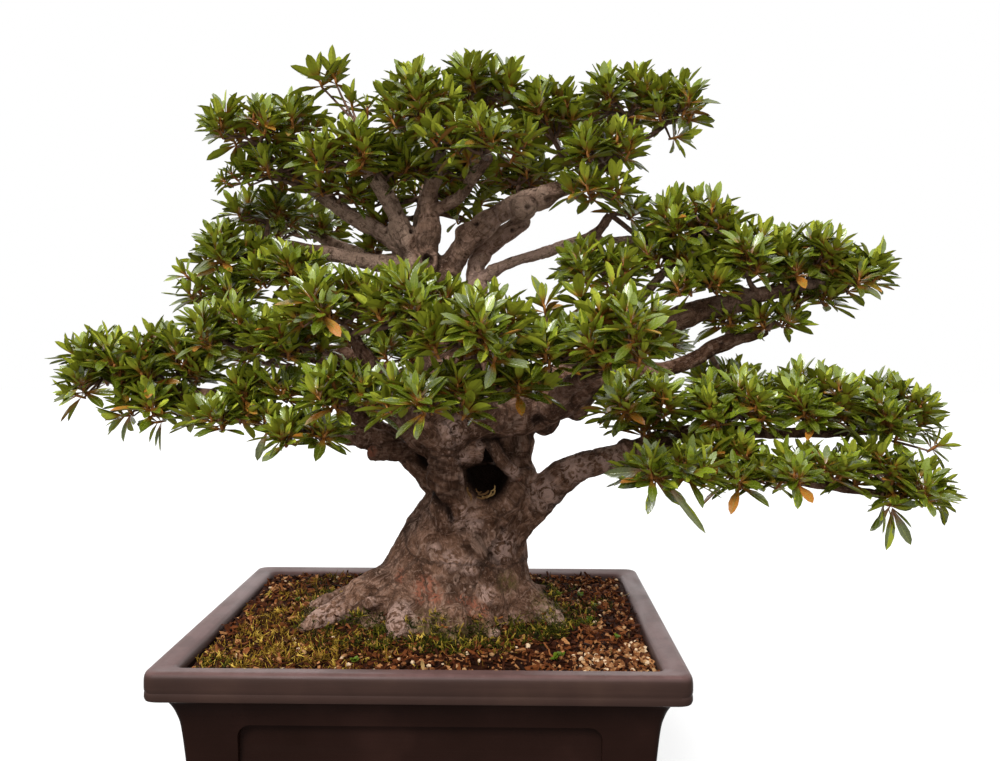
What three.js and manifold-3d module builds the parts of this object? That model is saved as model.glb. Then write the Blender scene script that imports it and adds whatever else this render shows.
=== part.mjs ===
// A chinzan satsuki azalea bonsai in a rectangular unglazed clay pot.
// Millimetres, +Z up. Seen from the front the viewer looks along +Y, with +X to the right.
// Everything is laid out from the middle of the pot's foot, and the finished group is then moved so that
// its origin lies on the ground under the middle of the whole plant.
import * as THREE from "three";
import { mergeVertices } from "three/addons/utils/BufferGeometryUtils.js";
import Module from "manifold-3d";

const wasm = await Module();
wasm.setup();

const gap = 0.35; // between two pieces that touch

// The pot, at its rim
const potLength = 450;
const potDepth = 340;
const potHeight = 140;
const potCorner = 11;
const footHeight = 12;
const floorTop = 21;
const drainX = 100;
const drainRadius = 17;

// Leaves and shoots
const leafLength = 33;
const leafWidth = 12;
const budHeight = 3;
const leavesInWhorl = 5;
const shootRadius = 1.5;
const shootClearance = 0.45;
const shootAttempts = 8;
const coreShare = 0.88; // of a puff's half size, for the tangle of twigs inside it
const whorlShare = 1.15; // of a puff's half size, for the whorls that stand out of it

// Small helpers

const range = (count) => Array.from({ length: count }, (_, i) => i);
const vec = ([x, y, z]) => new THREE.Vector3(x, y, z);
const quarters = [[1, 1], [-1, 1], [-1, -1], [1, -1]];

// A seeded draw from 0 to 1, so that every build gives the same plant.
function seededDraw(seed) {
  let state = seed;
  return () => {
    state = (state + 0x6d2b79f5) | 0;
    let t = Math.imul(state ^ (state >>> 15), 1 | state);
    t = (t + Math.imul(t ^ (t >>> 7), 61 | t)) ^ t;
    return ((t ^ (t >>> 14)) >>> 0) / 4294967296;
  };
}

function geometryOf(points, index) {
  const geometry = new THREE.BufferGeometry();
  const places = points.flatMap((p) => [p.x, p.y, p.z]);
  geometry.setAttribute("position", new THREE.Float32BufferAttribute(places, 3));
  geometry.setIndex(index);
  return geometry;
}

function solidOf(geometry) {
  const bare = geometry.clone();
  bare.deleteAttribute("normal");
  bare.deleteAttribute("uv");
  const merged = mergeVertices(bare, 1e-4);
  return new wasm.Manifold(
    new wasm.Mesh({
      numProp: 3,
      vertProperties: new Float32Array(merged.attributes.position.array),
      triVerts: new Uint32Array(merged.index.array),
    }),
  );
}

function meshOf(name, solid, material) {
  const { vertProperties, triVerts, numProp } = solid.getMesh();
  const corner = (i) => vec(vertProperties.subarray(i * numProp, i * numProp + 3));
  const points = range(vertProperties.length / numProp).map(corner);
  const geometry = geometryOf(points, Array.from(triVerts));
  geometry.computeVertexNormals();
  const mesh = new THREE.Mesh(geometry, material);
  mesh.name = name;
  return mesh;
}

// The biggest body of a solid, without the scraps that a cut leaves.
const mainBody = (solid) => solid.decompose().reduce((a, b) => (b.volume() > a.volume() ? b : a));
const joined = (solids) => solids.reduce((a, b) => a.add(b));

// A closed skin over a stack of rings with equal numbers of points, each counterclockwise about the way up.
function skin(rings) {
  const count = rings[0].length;
  const points = rings.flat();
  const index = [];
  for (let row = 0; row < rings.length - 1; row++) {
    for (let i = 0; i < count; i++) {
      const a = row * count + i;
      const b = row * count + ((i + 1) % count);
      index.push(a, b, b + count, a, b + count, a + count);
    }
  }
  const last = (rings.length - 1) * count;
  for (let i = 1; i < count - 1; i++) {
    index.push(0, i + 1, i);
    index.push(last, last + i, last + i + 1);
  }
  return geometryOf(points, index);
}

// A tapering limb through points [x, y, z, radius], thicker by grow all over.
function limb(path, sides, grow = 0) {
  const points = path.map(vec);
  const first = points[1].clone().sub(points[0]).normalize();
  const side = new THREE.Vector3(0, 1, 0).cross(first);
  if (side.length() < 0.2) side.set(1, 0, 0);
  const rings = points.map((point, i) => {
    const along = (points[i + 1] ?? point).clone().sub(points[i - 1] ?? point).normalize();
    side.addScaledVector(along, -side.dot(along)).normalize();
    const across = along.clone().cross(side);
    const radius = path[i][3] + grow;
    return range(sides).map((k) => {
      const turn = (2 * Math.PI * k) / sides;
      const out = side.clone().multiplyScalar(Math.cos(turn)).addScaledVector(across, Math.sin(turn));
      return point.clone().addScaledVector(out, radius);
    });
  });
  return solidOf(skin(rings));
}

// A level rectangle with round corners, given by its half sizes, with extra points along each side.
function roundedRing(halfX, halfY, corner, z, cornerSteps, sidePoints = 0) {
  const middles = quarters.map(([sx, sy]) => [sx * (halfX - corner), sy * (halfY - corner)]);
  const corners = middles.map(([x, y], quarter) =>
    range(cornerSteps + 1).map((k) => {
      const turn = (Math.PI / 2) * (quarter + k / cornerSteps);
      return new THREE.Vector3(x + corner * Math.cos(turn), y + corner * Math.sin(turn), z);
    }),
  );
  return corners.flatMap((points, quarter) => {
    const next = corners[(quarter + 1) % 4][0];
    const from = points.at(-1);
    const between = range(sidePoints).map((k) => from.clone().lerp(next, (k + 1) / (sidePoints + 1)));
    return [...points, ...between];
  });
}

function box(x, y, z, width, depth, height) {
  return solidOf(new THREE.BoxGeometry(width, depth, height).translate(x, y, z + height / 2));
}

// The pot: its wall from the foot up the outside, over the rim and down the inside

// [how far in from the rim's edge, height]
const outerWall = [
  [27, footHeight], [24, 50], [20.6, 86], [17, 100], [12.5, 108.5], [9.5, 112.5],
  [1.5, 113.5], [0, 117], [0, 131], [1.6, 136], [5.5, 139.2], [11, potHeight], [21, 138],
];
const innerWall = [[23.5, 132], [33, 86], [38, floorTop]];

function potInnerHalf(z) {
  const above = innerWall.findIndex(([, height]) => height <= z);
  const [a, b] = above < 1 ? [innerWall[0], innerWall[0]] : [innerWall[above - 1], innerWall[above]];
  const share = a === b ? 0 : (a[1] - z) / (a[1] - b[1]);
  const inset = a[0] + (b[0] - a[0]) * share;
  return [potLength / 2 - inset, potDepth / 2 - inset];
}

// A panel with scooped corners, sunk into the wall that faces -Y.
function sunkPanel(halfWidth, wallY) {
  const bottom = 26;
  const top = 88;
  const scoop = 13;
  const panelDepth = 1.8;
  const outline = new THREE.Shape();
  outline.moveTo(-halfWidth + scoop, bottom);
  outline.lineTo(halfWidth - scoop, bottom);
  outline.absarc(halfWidth, bottom, scoop, Math.PI, Math.PI / 2, true);
  outline.lineTo(halfWidth, top - scoop);
  outline.absarc(halfWidth, top, scoop, -Math.PI / 2, Math.PI, true);
  outline.lineTo(-halfWidth + scoop, top);
  outline.absarc(-halfWidth, top, scoop, 0, -Math.PI / 2, true);
  outline.lineTo(-halfWidth, bottom + scoop);
  outline.absarc(-halfWidth, bottom, scoop, Math.PI / 2, 0, true);
  const thick = 30;
  const panel = new THREE.ExtrudeGeometry(outline, { depth: thick, bevelEnabled: false, curveSegments: 2 });
  const lean = Math.atan2(25.5 - 20.6, 86 - 30);
  return panel
    .rotateX(Math.PI / 2)
    .translate(0, 0, -bottom)
    .rotateX(lean)
    .translate(0, -wallY + 25.9 + panelDepth, bottom);
}

function makePot() {
  const wall = [...outerWall, ...innerWall].map(([inset, z]) =>
    roundedRing(potLength / 2 - inset, potDepth / 2 - inset, Math.max(potCorner - inset * 0.15, 5), z, 3),
  );
  const feet = quarters.map(([sx, sy]) => {
    const x = sx * (potLength / 2 - 34);
    const y = sy * (potDepth / 2 - 34);
    const long = box(x - sx * 24, y - sy * 3, 0, 56, 14, footHeight + 2);
    return long.add(box(x - sx * 3, y - sy * 20, 0, 14, 48, footHeight + 2));
  });
  const panels = [
    sunkPanel(153, potDepth / 2),
    sunkPanel(153, potDepth / 2).rotateZ(Math.PI),
    sunkPanel(100, potLength / 2).rotateZ(Math.PI / 2),
    sunkPanel(100, potLength / 2).rotateZ(-Math.PI / 2),
  ].map(solidOf);
  const drains = [-drainX, drainX].map((x) => {
    const drain = new THREE.CylinderGeometry(drainRadius, drainRadius, 40, 12);
    return solidOf(drain.rotateX(Math.PI / 2).translate(x, 0, 15));
  });
  return joined([solidOf(skin(wall)), ...feet]).subtract(joined([...panels, ...drains]));
}

// The plastic net over each drain hole
const netSize = 60;
const netThickness = 1.5;

function makeNet(x) {
  const pitch = 22;
  const opening = 18;
  const holes = range(4).map((i) =>
    box(x + ((i % 2) - 0.5) * pitch, (Math.floor(i / 2) - 0.5) * pitch, floorTop - 2, opening, opening, 8),
  );
  return box(x, 0, floorTop + gap, netSize, netSize, netThickness).subtract(joined(holes));
}

// The wood: one trunk with its roots and limbs, grown together

// [z, middle x, middle y, half width, half depth, how far the root ridges stand out]
const trunkSections = [
  [105, 2, 4, 94, 70, 0.05], [128, 3, 3, 102, 78, 0.16], [147, 4, 3, 91, 67, 0.16],
  [168, 15, 3, 80, 57, 0.1], [200, 22, 3, 69, 51, 0.06], [234, 32, 2, 61, 49, 0.04],
  [258, 44, 2, 59, 49, 0.04], [288, 52, 6, 46, 42, 0.03],
];
const ridgeAngles = [15, 62, 105, 150, 188, 228, 262, 300, 338];
const trunkSides = 18;

// The surface roots, from inside the trunk outwards and down into the soil, as [x, y, z, radius]
const roots = [
  [[-50, -10, 178, 22], [-78, -17, 160, 20], [-104, -22, 146, 14], [-126, -26, 136, 10], [-164, -36, 120, 5]],
  [[-60, 20, 166, 20], [-96, 32, 146, 13], [-126, 38, 134, 9], [-164, 52, 118, 4]],
  [[-94, 6, 150, 8], [-116, -2, 151, 7], [-130, -8, 138, 6]],
  [[-24, -22, 160, 17], [-29, -48, 155, 14.5], [-31, -64, 151, 11]],
  [[-78, -30, 144, 4], [-60, -48, 151, 4], [-44, -52, 147, 4], [-34, -46, 136, 4]],
  [[18, -36, 164, 24], [26, -62, 143, 17], [30, -86, 128, 9], [34, -122, 118, 4]],
  [[44, -44, 152, 10], [54, -74, 142, 6]],
  [[90, -4, 184, 19], [110, -13, 160, 16], [124, -20, 142, 11], [160, -34, 124, 5]],
  [[104, 10, 170, 9], [150, 20, 142, 6], [176, 24, 126, 4]],
  [[30, 40, 174, 27], [40, 72, 148, 19], [50, 102, 132, 10], [64, 138, 120, 4]],
  [[-32, 34, 170, 23], [-58, 64, 146, 15], [-80, 90, 132, 8], [-108, 120, 118, 4]],
  [[84, 34, 166, 21], [112, 60, 144, 13], [136, 82, 130, 7], [160, 104, 118, 4]],
];

// The main limbs, each from inside the wood that carries it, as [x, y, z, radius]
const limbs = {
  front_arm: [
    [20, -22, 236, 27], [14, -42, 268, 20], [14, -51, 303, 18], [21, -52, 325, 19], [40, -49, 338, 18],
    [94, -36, 346, 20], [120, -40, 358, 18], [142, -58, 374, 12], [156, -84, 386, 9],
  ],
  left_low: [
    [4, -8, 262, 20], [-24, 0, 286, 14.5], [-51, 0, 306, 12], [-109, -15, 328, 10], [-150, -25, 341, 8],
    [-191, -35, 356, 7], [-285, -38, 370, 4],
  ],
  left_stub: [[-34, -8, 300, 12], [-57, -30, 306, 9]],
  left_upper: [
    [24, 16, 280, 18], [-27, 5, 359, 16], [-66, 0, 383, 15], [-99, -10, 396, 12], [-160, -28, 408, 6],
  ],
  right_low: [
    [80, 0, 238, 30], [98, -2, 256, 23], [134, -12, 291, 16], [163, -20, 300, 14.5],
    [190, -25, 305, 12.5], [220, -30, 304, 10.5], [300, -40, 290, 8], [351, -45, 283, 6],
    [430, -56, 270, 4],
  ],
  right_low_fork: [
    [182, -24, 302, 10], [204, -25, 313, 9], [237, -15, 323, 9], [283, -10, 324, 7], [410, -22, 326, 4],
  ],
  back_stem: [
    [76, 10, 262, 22], [81, 20, 313, 16.5], [77, 25, 348, 17.5], [49, 28, 415, 18], [40, 32, 469, 12.5],
    [36, 34, 490, 11.5], [42, 34, 506, 10.5], [84, 28, 535, 10],
  ],
  left_leader: [
    [34, 18, 268, 26], [14, 34, 353, 23], [1, 35, 405, 22], [-7, 31, 446, 20], [-18, 25, 502, 19],
  ],
  leader_a: [[-20, 24, 492, 14], [-36, 15, 524, 10.5], [-50, 0, 560, 9], [-78, -20, 592, 5]],
  leader_b: [[-16, 25, 500, 14], [-7, 18, 552, 10], [6, 0, 604, 5]],
  leader_c: [[-8, 19, 545, 8], [4, 15, 553, 7], [27, 8, 560, 7], [54, -22, 580, 5]],
  leader_d: [[-18, 26, 497, 13], [-39, 25, 509, 12], [-86, 30, 541, 9], [-136, 24, 572, 6]],
  leader_e: [[-12, 30, 488, 13], [-40, 32, 494, 10], [-105, 44, 503, 8], [-185, 48, 518, 5]],
  right_leader: [
    [-4, 34, 436, 16], [6, 42, 482, 11.5], [14, 44, 506, 11.5], [34, 42, 530, 12.5], [78, 34, 553, 13],
    [102, 28, 559, 10], [144, 10, 578, 6.5], [200, 0, 612, 4.5],
  ],
  slender: [[40, 32, 474, 9], [61, 30, 489, 6.5], [136, 15, 514, 6], [160, 8, 523, 5], [174, 2, 540, 4]],
  slender_fork: [[136, 15, 514, 4.5], [170, 6, 515, 4], [226, -4, 516, 4]],
  right_mid: [
    [78, 24, 336, 15], [105, 20, 372, 14.5], [205, 10, 424, 13], [263, 0, 445, 12], [297, -6, 453, 10.5],
    [320, -10, 461, 8], [384, -18, 474, 4.5],
  ],
  right_mid_low: [
    [170, 14, 392, 8.5], [214, 14, 384, 8.5], [256, 10, 394, 8], [282, 6, 410, 8], [330, -2, 426, 6],
  ],
  right_mid_thin: [[200, 8, 430, 6], [202, 0, 452, 5.5], [220, -6, 476, 5], [236, -9, 494, 4.5]],
  front_left: [[16, -52, 312, 13], [-8, -80, 334, 10], [-30, -104, 366, 8.5], [-62, -120, 420, 6]],
  front_mid: [[58, -42, 340, 12], [44, -124, 372, 8], [46, -178, 398, 6]],
  front_right: [[112, -40, 352, 11], [124, -80, 370, 9], [152, -156, 394, 6.5]],
  back: [[72, 24, 350, 14], [52, 68, 374, 11], [20, 110, 394, 9], [-6, 142, 408, 7]],
  back_left_low: [[-14, 4, 292, 12], [-70, 38, 326, 10], [-178, 106, 384, 6]],
  back_right: [[110, 20, 376, 11], [158, 64, 388, 9], [222, 130, 402, 6]],
  back_right_low: [[163, -20, 302, 9], [214, 24, 306, 8], [324, 98, 330, 5.5]],
  back_left: [[-60, 36, 496, 8], [-92, 76, 508, 7], [-148, 132, 534, 5]],
  back_crown: [[-16, 27, 508, 11], [-18, 54, 548, 9], [-8, 98, 628, 5.5]],
  back_crown_right: [[78, 36, 556, 8], [98, 58, 580, 7], [136, 84, 624, 5]],
};

// A thick limb gets more sides than a thin one.
const sidesFor = (path) => (path[0][3] > 15 ? 6 : path[0][3] > 9 ? 5 : 4);

function trunkBody(grow = 0) {
  const rings = trunkSections.map(([z, x, y, halfWidth, halfDepth, ridge]) =>
    range(trunkSides).map((k) => {
      const turn = (2 * Math.PI * k) / trunkSides;
      const swell = ridgeAngles
        .map((angle) => Math.cos(turn - THREE.MathUtils.degToRad(angle)))
        .reduce((sum, near) => sum + Math.exp((near - 1) * 30), 0);
      const reach = 1 + ridge * (swell - 0.45);
      const outX = halfWidth * reach + grow;
      const outY = halfDepth * reach + grow;
      return new THREE.Vector3(x + outX * Math.cos(turn), y + outY * Math.sin(turn), z - grow);
    }),
  );
  return solidOf(skin(rings));
}

// The rotted hollow in the fork, open to the front between the arm and the stem behind it.
function forkHollow() {
  const hollow = new THREE.SphereGeometry(1, 10, 7).scale(21, 34, 30).rotateX(0.35);
  return solidOf(hollow.translate(48, -34, 284));
}

const makeRoots = (grow = 0) => joined(roots.map((path) => limb(path, 5, grow)));
const makeLimbs = (grow = 0) =>
  joined(Object.values(limbs).map((path) => limb(path, sidesFor(path), grow)));

function makeTrunk() {
  return mainBody(trunkBody().add(makeRoots()).subtract(forkHollow()).add(makeLimbs()));
}

// The soil fills the pot, low at the wall and heaped round the trunk

const soilEdgeTop = 129;

function soilHeight(x, y) {
  const nearness = Math.exp(-((x / 125) ** 2) - ((y / 92) ** 2));
  const ripple = 1.1 * Math.sin(x / 13 + 1.3) * Math.cos(y / 11) + 0.8 * Math.sin(x / 29 - y / 17);
  const backRise = (4 * (y + potDepth / 2)) / potDepth;
  return soilEdgeTop + backRise + 17 * nearness + ripple;
}

function makeSoil(grownWood) {
  const sidePoints = 3;
  const lower = [floorTop + gap, 86].map((z) => {
    const [x, y] = potInnerHalf(z);
    return roundedRing(x - gap - 0.3, y - gap - 0.3, 8, z, 1, sidePoints);
  });
  const [edgeX, edgeY] = potInnerHalf(soilEdgeTop + 4);
  const upper = [1, 0.88, 0.68, 0.48, 0.26].map((share) => {
    const ring = roundedRing((edgeX - 3) * share, (edgeY - 3) * share, 8 * share, 0, 1, sidePoints);
    return ring.map((p) => new THREE.Vector3(p.x, p.y, soilHeight(p.x, p.y)));
  });
  const netRecesses = [-drainX, drainX].map((x) =>
    box(x, 0, floorTop - 1, netSize + 2 * gap, netSize + 2 * gap, 1 + 2 * gap + netThickness),
  );
  return mainBody(solidOf(skin([...lower, ...upper])).subtract(joined([grownWood, ...netRecesses])));
}

// Leaves stand in whorls at the ends of short shoots. A shoot is one closed skin. It tapers back to its
// foot, which is sunk in the twigs, and each leaf has a flat back and a keel from the shoot's bud to its tip.
function shoot(foot, hub, draw, grow = 0) {
  const axis = hub.clone().sub(foot).normalize().addScaledVector(vec([0, 0, 1]), 0.6).normalize();
  const east = axis.clone().cross(vec([0.2, 1, 0])).normalize();
  const north = axis.clone().cross(east);
  const around = (turn) =>
    east.clone().multiplyScalar(Math.cos(turn)).addScaledVector(north, Math.sin(turn));
  const start = draw() * 2 * Math.PI;
  const points = [foot, hub.clone().addScaledVector(axis, budHeight + grow)];
  range(leavesInWhorl).forEach((k) => {
    const turn = start + (2 * Math.PI * (k + (draw() - 0.5) * 0.18)) / leavesInWhorl;
    const lift = THREE.MathUtils.degToRad((k % 2 ? 50 : 28) + (draw() - 0.5) * 18);
    const length = leafLength * (0.86 + 0.26 * draw()) + grow;
    const half = leafWidth / 2 + grow;
    const along = around(turn).multiplyScalar(Math.cos(lift)).addScaledVector(axis, Math.sin(lift));
    const side = axis.clone().cross(along).normalize();
    const face = along.clone().cross(side);
    const spot = (forward, sideways, raise) => {
      const place = hub.clone().addScaledVector(along, forward);
      return place.addScaledVector(side, sideways).addScaledVector(face, raise);
    };
    points.push(
      hub.clone().addScaledVector(around(turn - Math.PI / leavesInWhorl), shootRadius + grow),
      spot(length * 0.55, -half, 0.6),
      spot(length, 0, -1.5),
      spot(length * 0.55, half, 0.6),
    );
  });
  const index = [];
  range(leavesInWhorl).forEach((k) => {
    const [valley, right, tip, left] = range(4).map((i) => 2 + 4 * k + i);
    const next = 2 + 4 * ((k + 1) % leavesInWhorl);
    index.push(1, valley, right, 1, right, tip, 1, tip, left, 1, left, next);
    index.push(valley, tip, right, next, left, tip, valley, next, tip, valley, 0, next);
  });
  return solidOf(geometryOf(points, index));
}

// Leafy branches: the limb that each springs from, and its puffs of leaves, given by middle and half size
// of the space that the whorls' hearts fill
const leafyBranches = {
  crown_left_tip: ["leader_d", [[-185, -20, 625], [35, 27, 18]]],
  crown_left: ["leader_d", [[-165, 12, 588], [32, 27, 14]], [[-138, 8, 640], [24, 27, 16]]],
  crown_sprig: ["leader_a", [[-84, -30, 600], [33, 30, 24]], [[-100, -22, 680], [14, 6, 6]]],
  crown_centre_left: ["leader_b", [[-10, -50, 632], [28, 36, 30]]],
  crown_top: ["leader_b", [[46, -16, 662], [30, 36, 18]]],
  crown_front: ["leader_c", [[46, -80, 596], [42, 27, 18]]],
  crown_centre_right: ["right_leader", [[112, -16, 635], [27, 36, 20]]],
  crown_right_inner: ["right_leader", [[162, -26, 598], [32, 30, 15]], [[150, -38, 562], [28, 18, 7]]],
  crown_right: ["right_leader", [[186, 4, 655], [36, 37, 17]]],
  crown_right_tip: ["right_leader", [[242, -8, 648], [23, 27, 20]]],
  left_mid_upper: ["leader_e", [[-192, 62, 556], [36, 30, 12]]],
  left_mid: ["leader_e", [[-226, 40, 510], [40, 36, 22]], [[-230, 18, 464], [32, 25, 9]]],
  left_mid_inner: ["leader_e", [[-150, 8, 486], [30, 32, 16]]],
  front_left: ["front_left", [[-72, -122, 446], [40, 36, 21]]],
  front_centre_left: ["front_left", [[-4, -160, 445], [32, 36, 21]]],
  front_centre: ["front_mid", [[52, -200, 422], [34, 36, 24]]],
  front_centre_right: ["front_right", [[108, -150, 424], [28, 34, 21]]],
  front_right: ["front_right", [[162, -192, 416], [28, 30, 28]]],
  front_low: ["front_mid", [[12, -190, 372], [34, 27, 16]]],
  front_low_right: ["front_mid", [[78, -146, 380], [27, 26, 13]]],
  front_low_left: ["front_left", [[-62, -142, 372], [30, 30, 17]]],
  left_low_tip: ["left_low", [[-316, -22, 388], [31, 43, 28]]],
  left_low_outer: ["left_low", [[-260, -26, 396], [36, 40, 30]]],
  left_low_mid: ["left_upper", [[-194, -34, 422], [33, 40, 22]]],
  left_low_inner: ["left_upper", [[-128, -62, 418], [28, 34, 20]]],
  left_low_under: ["left_low", [[-186, -62, 340], [38, 28, 9]]],
  left_low_hang: ["left_low", [[-112, -72, 326], [32, 26, 9]]],
  right_mid_inner: ["slender", [[158, -24, 486], [32, 30, 18]], [[186, -8, 546], [12, 14, 7]]],
  right_mid_top: ["slender_fork", [[250, -10, 530], [40, 36, 20]]],
  right_mid: ["right_mid", [[300, -26, 496], [34, 40, 21]]],
  right_mid_outer: ["right_mid", [[364, -14, 504], [33, 41, 24]]],
  right_mid_tip: ["right_mid", [[418, -22, 482], [20, 27, 18]]],
  right_mid_under: ["right_mid_thin", [[254, -34, 468], [28, 24, 10]]],
  right_mid_low: ["right_mid_low", [[354, -6, 438], [26, 22, 8]]],
  right_back_top: ["right_mid_low", [[300, 56, 386], [30, 28, 9]]],
  right_low_inner: ["right_low_fork", [[196, -52, 360], [33, 30, 18]]],
  right_low_hang: ["right_low", [[216, -110, 302], [38, 22, 13]]],
  right_low_mid: ["right_low_fork", [[284, -40, 360], [36, 40, 23]]],
  right_low_outer: ["right_low_fork", [[362, -34, 362], [36, 44, 26]]],
  right_low_far: ["right_low_fork", [[436, -30, 344], [38, 40, 30]]],
  right_low_tip: ["right_low", [[452, -66, 284], [24, 30, 20]]],
  right_low_under: ["right_low", [[336, -84, 304], [38, 28, 10]]],
  back_crown: ["back_crown", [[-6, 112, 660], [60, 44, 26]]],
  back_crown_right: ["back_crown_right", [[148, 92, 648], [48, 36, 22]]],
  back_left: ["back_left", [[-172, 152, 550], [50, 40, 22]]],
  back_centre: ["back", [[-22, 170, 426], [62, 40, 22]]],
  back_right: ["back_right", [[240, 152, 416], [50, 40, 22]]],
  back_right_low: ["back_right_low", [[362, 122, 350], [44, 36, 21]]],
  back_left_low: ["back_left_low", [[-216, 132, 404], [50, 40, 22]]],
};

const nearestOn = (path, goal) =>
  path.map((p) => [vec(p), p[3]]).reduce((a, b) => (b[0].distanceTo(goal) < a[0].distanceTo(goal) ? b : a));

// One whorl on the top of a puff and the others spread round it, the first of them away from the trunk.
function whorlHubs([x, y, z], size) {
  const [halfX, halfY, halfZ] = size.map((half) => half * whorlShare);
  const spread = size[0] * size[1];
  const around = spread > 1300 ? 3 : spread > 200 ? 2 : 0;
  const outward = Math.atan2(y / halfY, (x - 40) / halfX);
  const ring = range(around).map((k) => {
    const turn = outward + (2 * Math.PI * k) / around;
    const height = k % 2 ? -0.2 : 0.15;
    return new THREE.Vector3(x + halfX * Math.cos(turn), y + halfY * Math.sin(turn), z + halfZ * height);
  });
  return [new THREE.Vector3(x, y, z + halfZ), ...ring];
}

// The twigs of a leafy branch: a stem from its limb through its puffs, with a lump of crossing twigs in each.
function twigFrame([limbName, ...puffs], grow = 0) {
  const middles = puffs.map(([at]) => vec(at));
  const [start, startRadius] = nearestOn(limbs[limbName], middles[0]);
  const way = [start, ...middles];
  const stemRadius = Math.min(4.2, startRadius * 0.8);
  const stem = limb(way.map((p, i) => [p.x, p.y, p.z, i ? 2.2 : stemRadius]), 4, grow);
  const cores = puffs.map(([at, size]) => {
    const half = size.map((s) => Math.max(s * coreShare, 4) + grow);
    return solidOf(new THREE.IcosahedronGeometry(1, 0).rotateZ(at[0]).scale(...half).translate(...at));
  });
  return joined([stem, ...cores]);
}

const boxOf = (solid) => {
  const { min, max } = solid.boundingBox();
  return new THREE.Box3(vec(min), vec(max));
};

const clearOf = (solid, others) => {
  const bounds = boxOf(solid);
  const isClear = (other) => !other.box.intersectsBox(bounds) || solid.intersect(other.solid).isEmpty();
  return others.every(isClear);
};

// The twigs of every branch come first, cut back where they meet the wood or one another. Then the shoots
// are set on them one by one, and a shoot that would cross anything else is turned and raised, or in the
// end left out.
function makeLeafyBranches(grownWood) {
  const draw = seededDraw(1868);
  const wood = { solid: grownWood, box: boxOf(grownWood) };
  const made = {};
  const cutters = [];
  for (const [name, branch] of Object.entries(leafyBranches)) {
    const twigs = twigFrame(branch).subtract(grownWood);
    made[name] = mainBody(cutters.length ? twigs.subtract(joined(cutters)) : twigs);
    cutters.push(twigFrame(branch, shootClearance));
  }
  for (const [name, [, ...puffs]] of Object.entries(leafyBranches)) {
    const neighbours = Object.entries(made)
      .filter(([other]) => other !== name)
      .map(([, solid]) => ({ solid, box: boxOf(solid) }));
    for (const [at, size] of puffs) {
      for (const hub of whorlHubs(at, size)) {
        const foot = vec(at).lerp(hub, -0.15);
        for (let attempt = 0; attempt < shootAttempts; attempt++) {
          const seed = Math.floor(draw() * 1e9);
          if (clearOf(shoot(foot, hub, seededDraw(seed), shootClearance), [wood, ...neighbours])) {
            made[name] = made[name].add(shoot(foot, hub, seededDraw(seed)));
            break;
          }
          hub.z += 2.5;
        }
      }
    }
    made[name] = mainBody(made[name]);
  }
  return made;
}

// Materials and the finished group

const clay = new THREE.MeshStandardMaterial({ color: "#3d2f2d", roughness: 0.55, metalness: 0 });
const bark = new THREE.MeshStandardMaterial({ color: "#6b5a4f", roughness: 0.85, metalness: 0 });
const earth = new THREE.MeshStandardMaterial({ color: "#6a4526", roughness: 0.95, metalness: 0 });
const leaf = new THREE.MeshStandardMaterial({ color: "#41701f", roughness: 0.45, metalness: 0 });
const net = new THREE.MeshStandardMaterial({ color: "#1c1f1d", roughness: 0.6, metalness: 0 });

const grownWood = joined([trunkBody(gap), makeRoots(gap), makeLimbs(gap)]);

const bonsai = new THREE.Group();
bonsai.add(meshOf("pot", makePot(), clay));
bonsai.add(meshOf("drain_net_left", makeNet(-drainX), net));
bonsai.add(meshOf("drain_net_right", makeNet(drainX), net));
bonsai.add(meshOf("soil", makeSoil(grownWood), earth));
bonsai.add(meshOf("trunk_roots_and_limbs", makeTrunk(), bark));
for (const [name, solid] of Object.entries(makeLeafyBranches(grownWood))) {
  bonsai.add(meshOf("leafy_branch_" + name, solid, leaf));
}

const middle = new THREE.Box3().setFromObject(bonsai).getCenter(new THREE.Vector3());
bonsai.position.set(-middle.x, -middle.y, 0);

export default bonsai;
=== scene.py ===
import math
import random

import bmesh
import bpy
from mathutils import Matrix, Vector, noise
from mathutils.bvhtree import BVHTree
from mathutils.kdtree import KDTree


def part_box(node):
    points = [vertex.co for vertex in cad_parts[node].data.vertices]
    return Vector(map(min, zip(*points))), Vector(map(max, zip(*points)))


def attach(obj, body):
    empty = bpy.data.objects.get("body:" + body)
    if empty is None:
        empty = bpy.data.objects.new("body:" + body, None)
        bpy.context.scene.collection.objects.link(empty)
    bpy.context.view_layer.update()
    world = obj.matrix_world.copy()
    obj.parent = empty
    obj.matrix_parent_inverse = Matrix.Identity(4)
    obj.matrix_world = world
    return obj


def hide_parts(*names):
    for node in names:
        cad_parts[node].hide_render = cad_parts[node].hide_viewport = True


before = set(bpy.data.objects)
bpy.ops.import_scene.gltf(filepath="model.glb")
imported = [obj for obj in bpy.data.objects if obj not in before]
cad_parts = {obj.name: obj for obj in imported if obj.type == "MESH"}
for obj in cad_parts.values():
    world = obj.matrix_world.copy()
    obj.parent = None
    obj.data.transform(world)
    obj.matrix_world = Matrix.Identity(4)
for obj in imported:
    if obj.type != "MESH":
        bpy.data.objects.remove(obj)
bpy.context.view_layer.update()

noise.seed_set(1868)  # without a seed, noise_vector is different in each run

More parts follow.
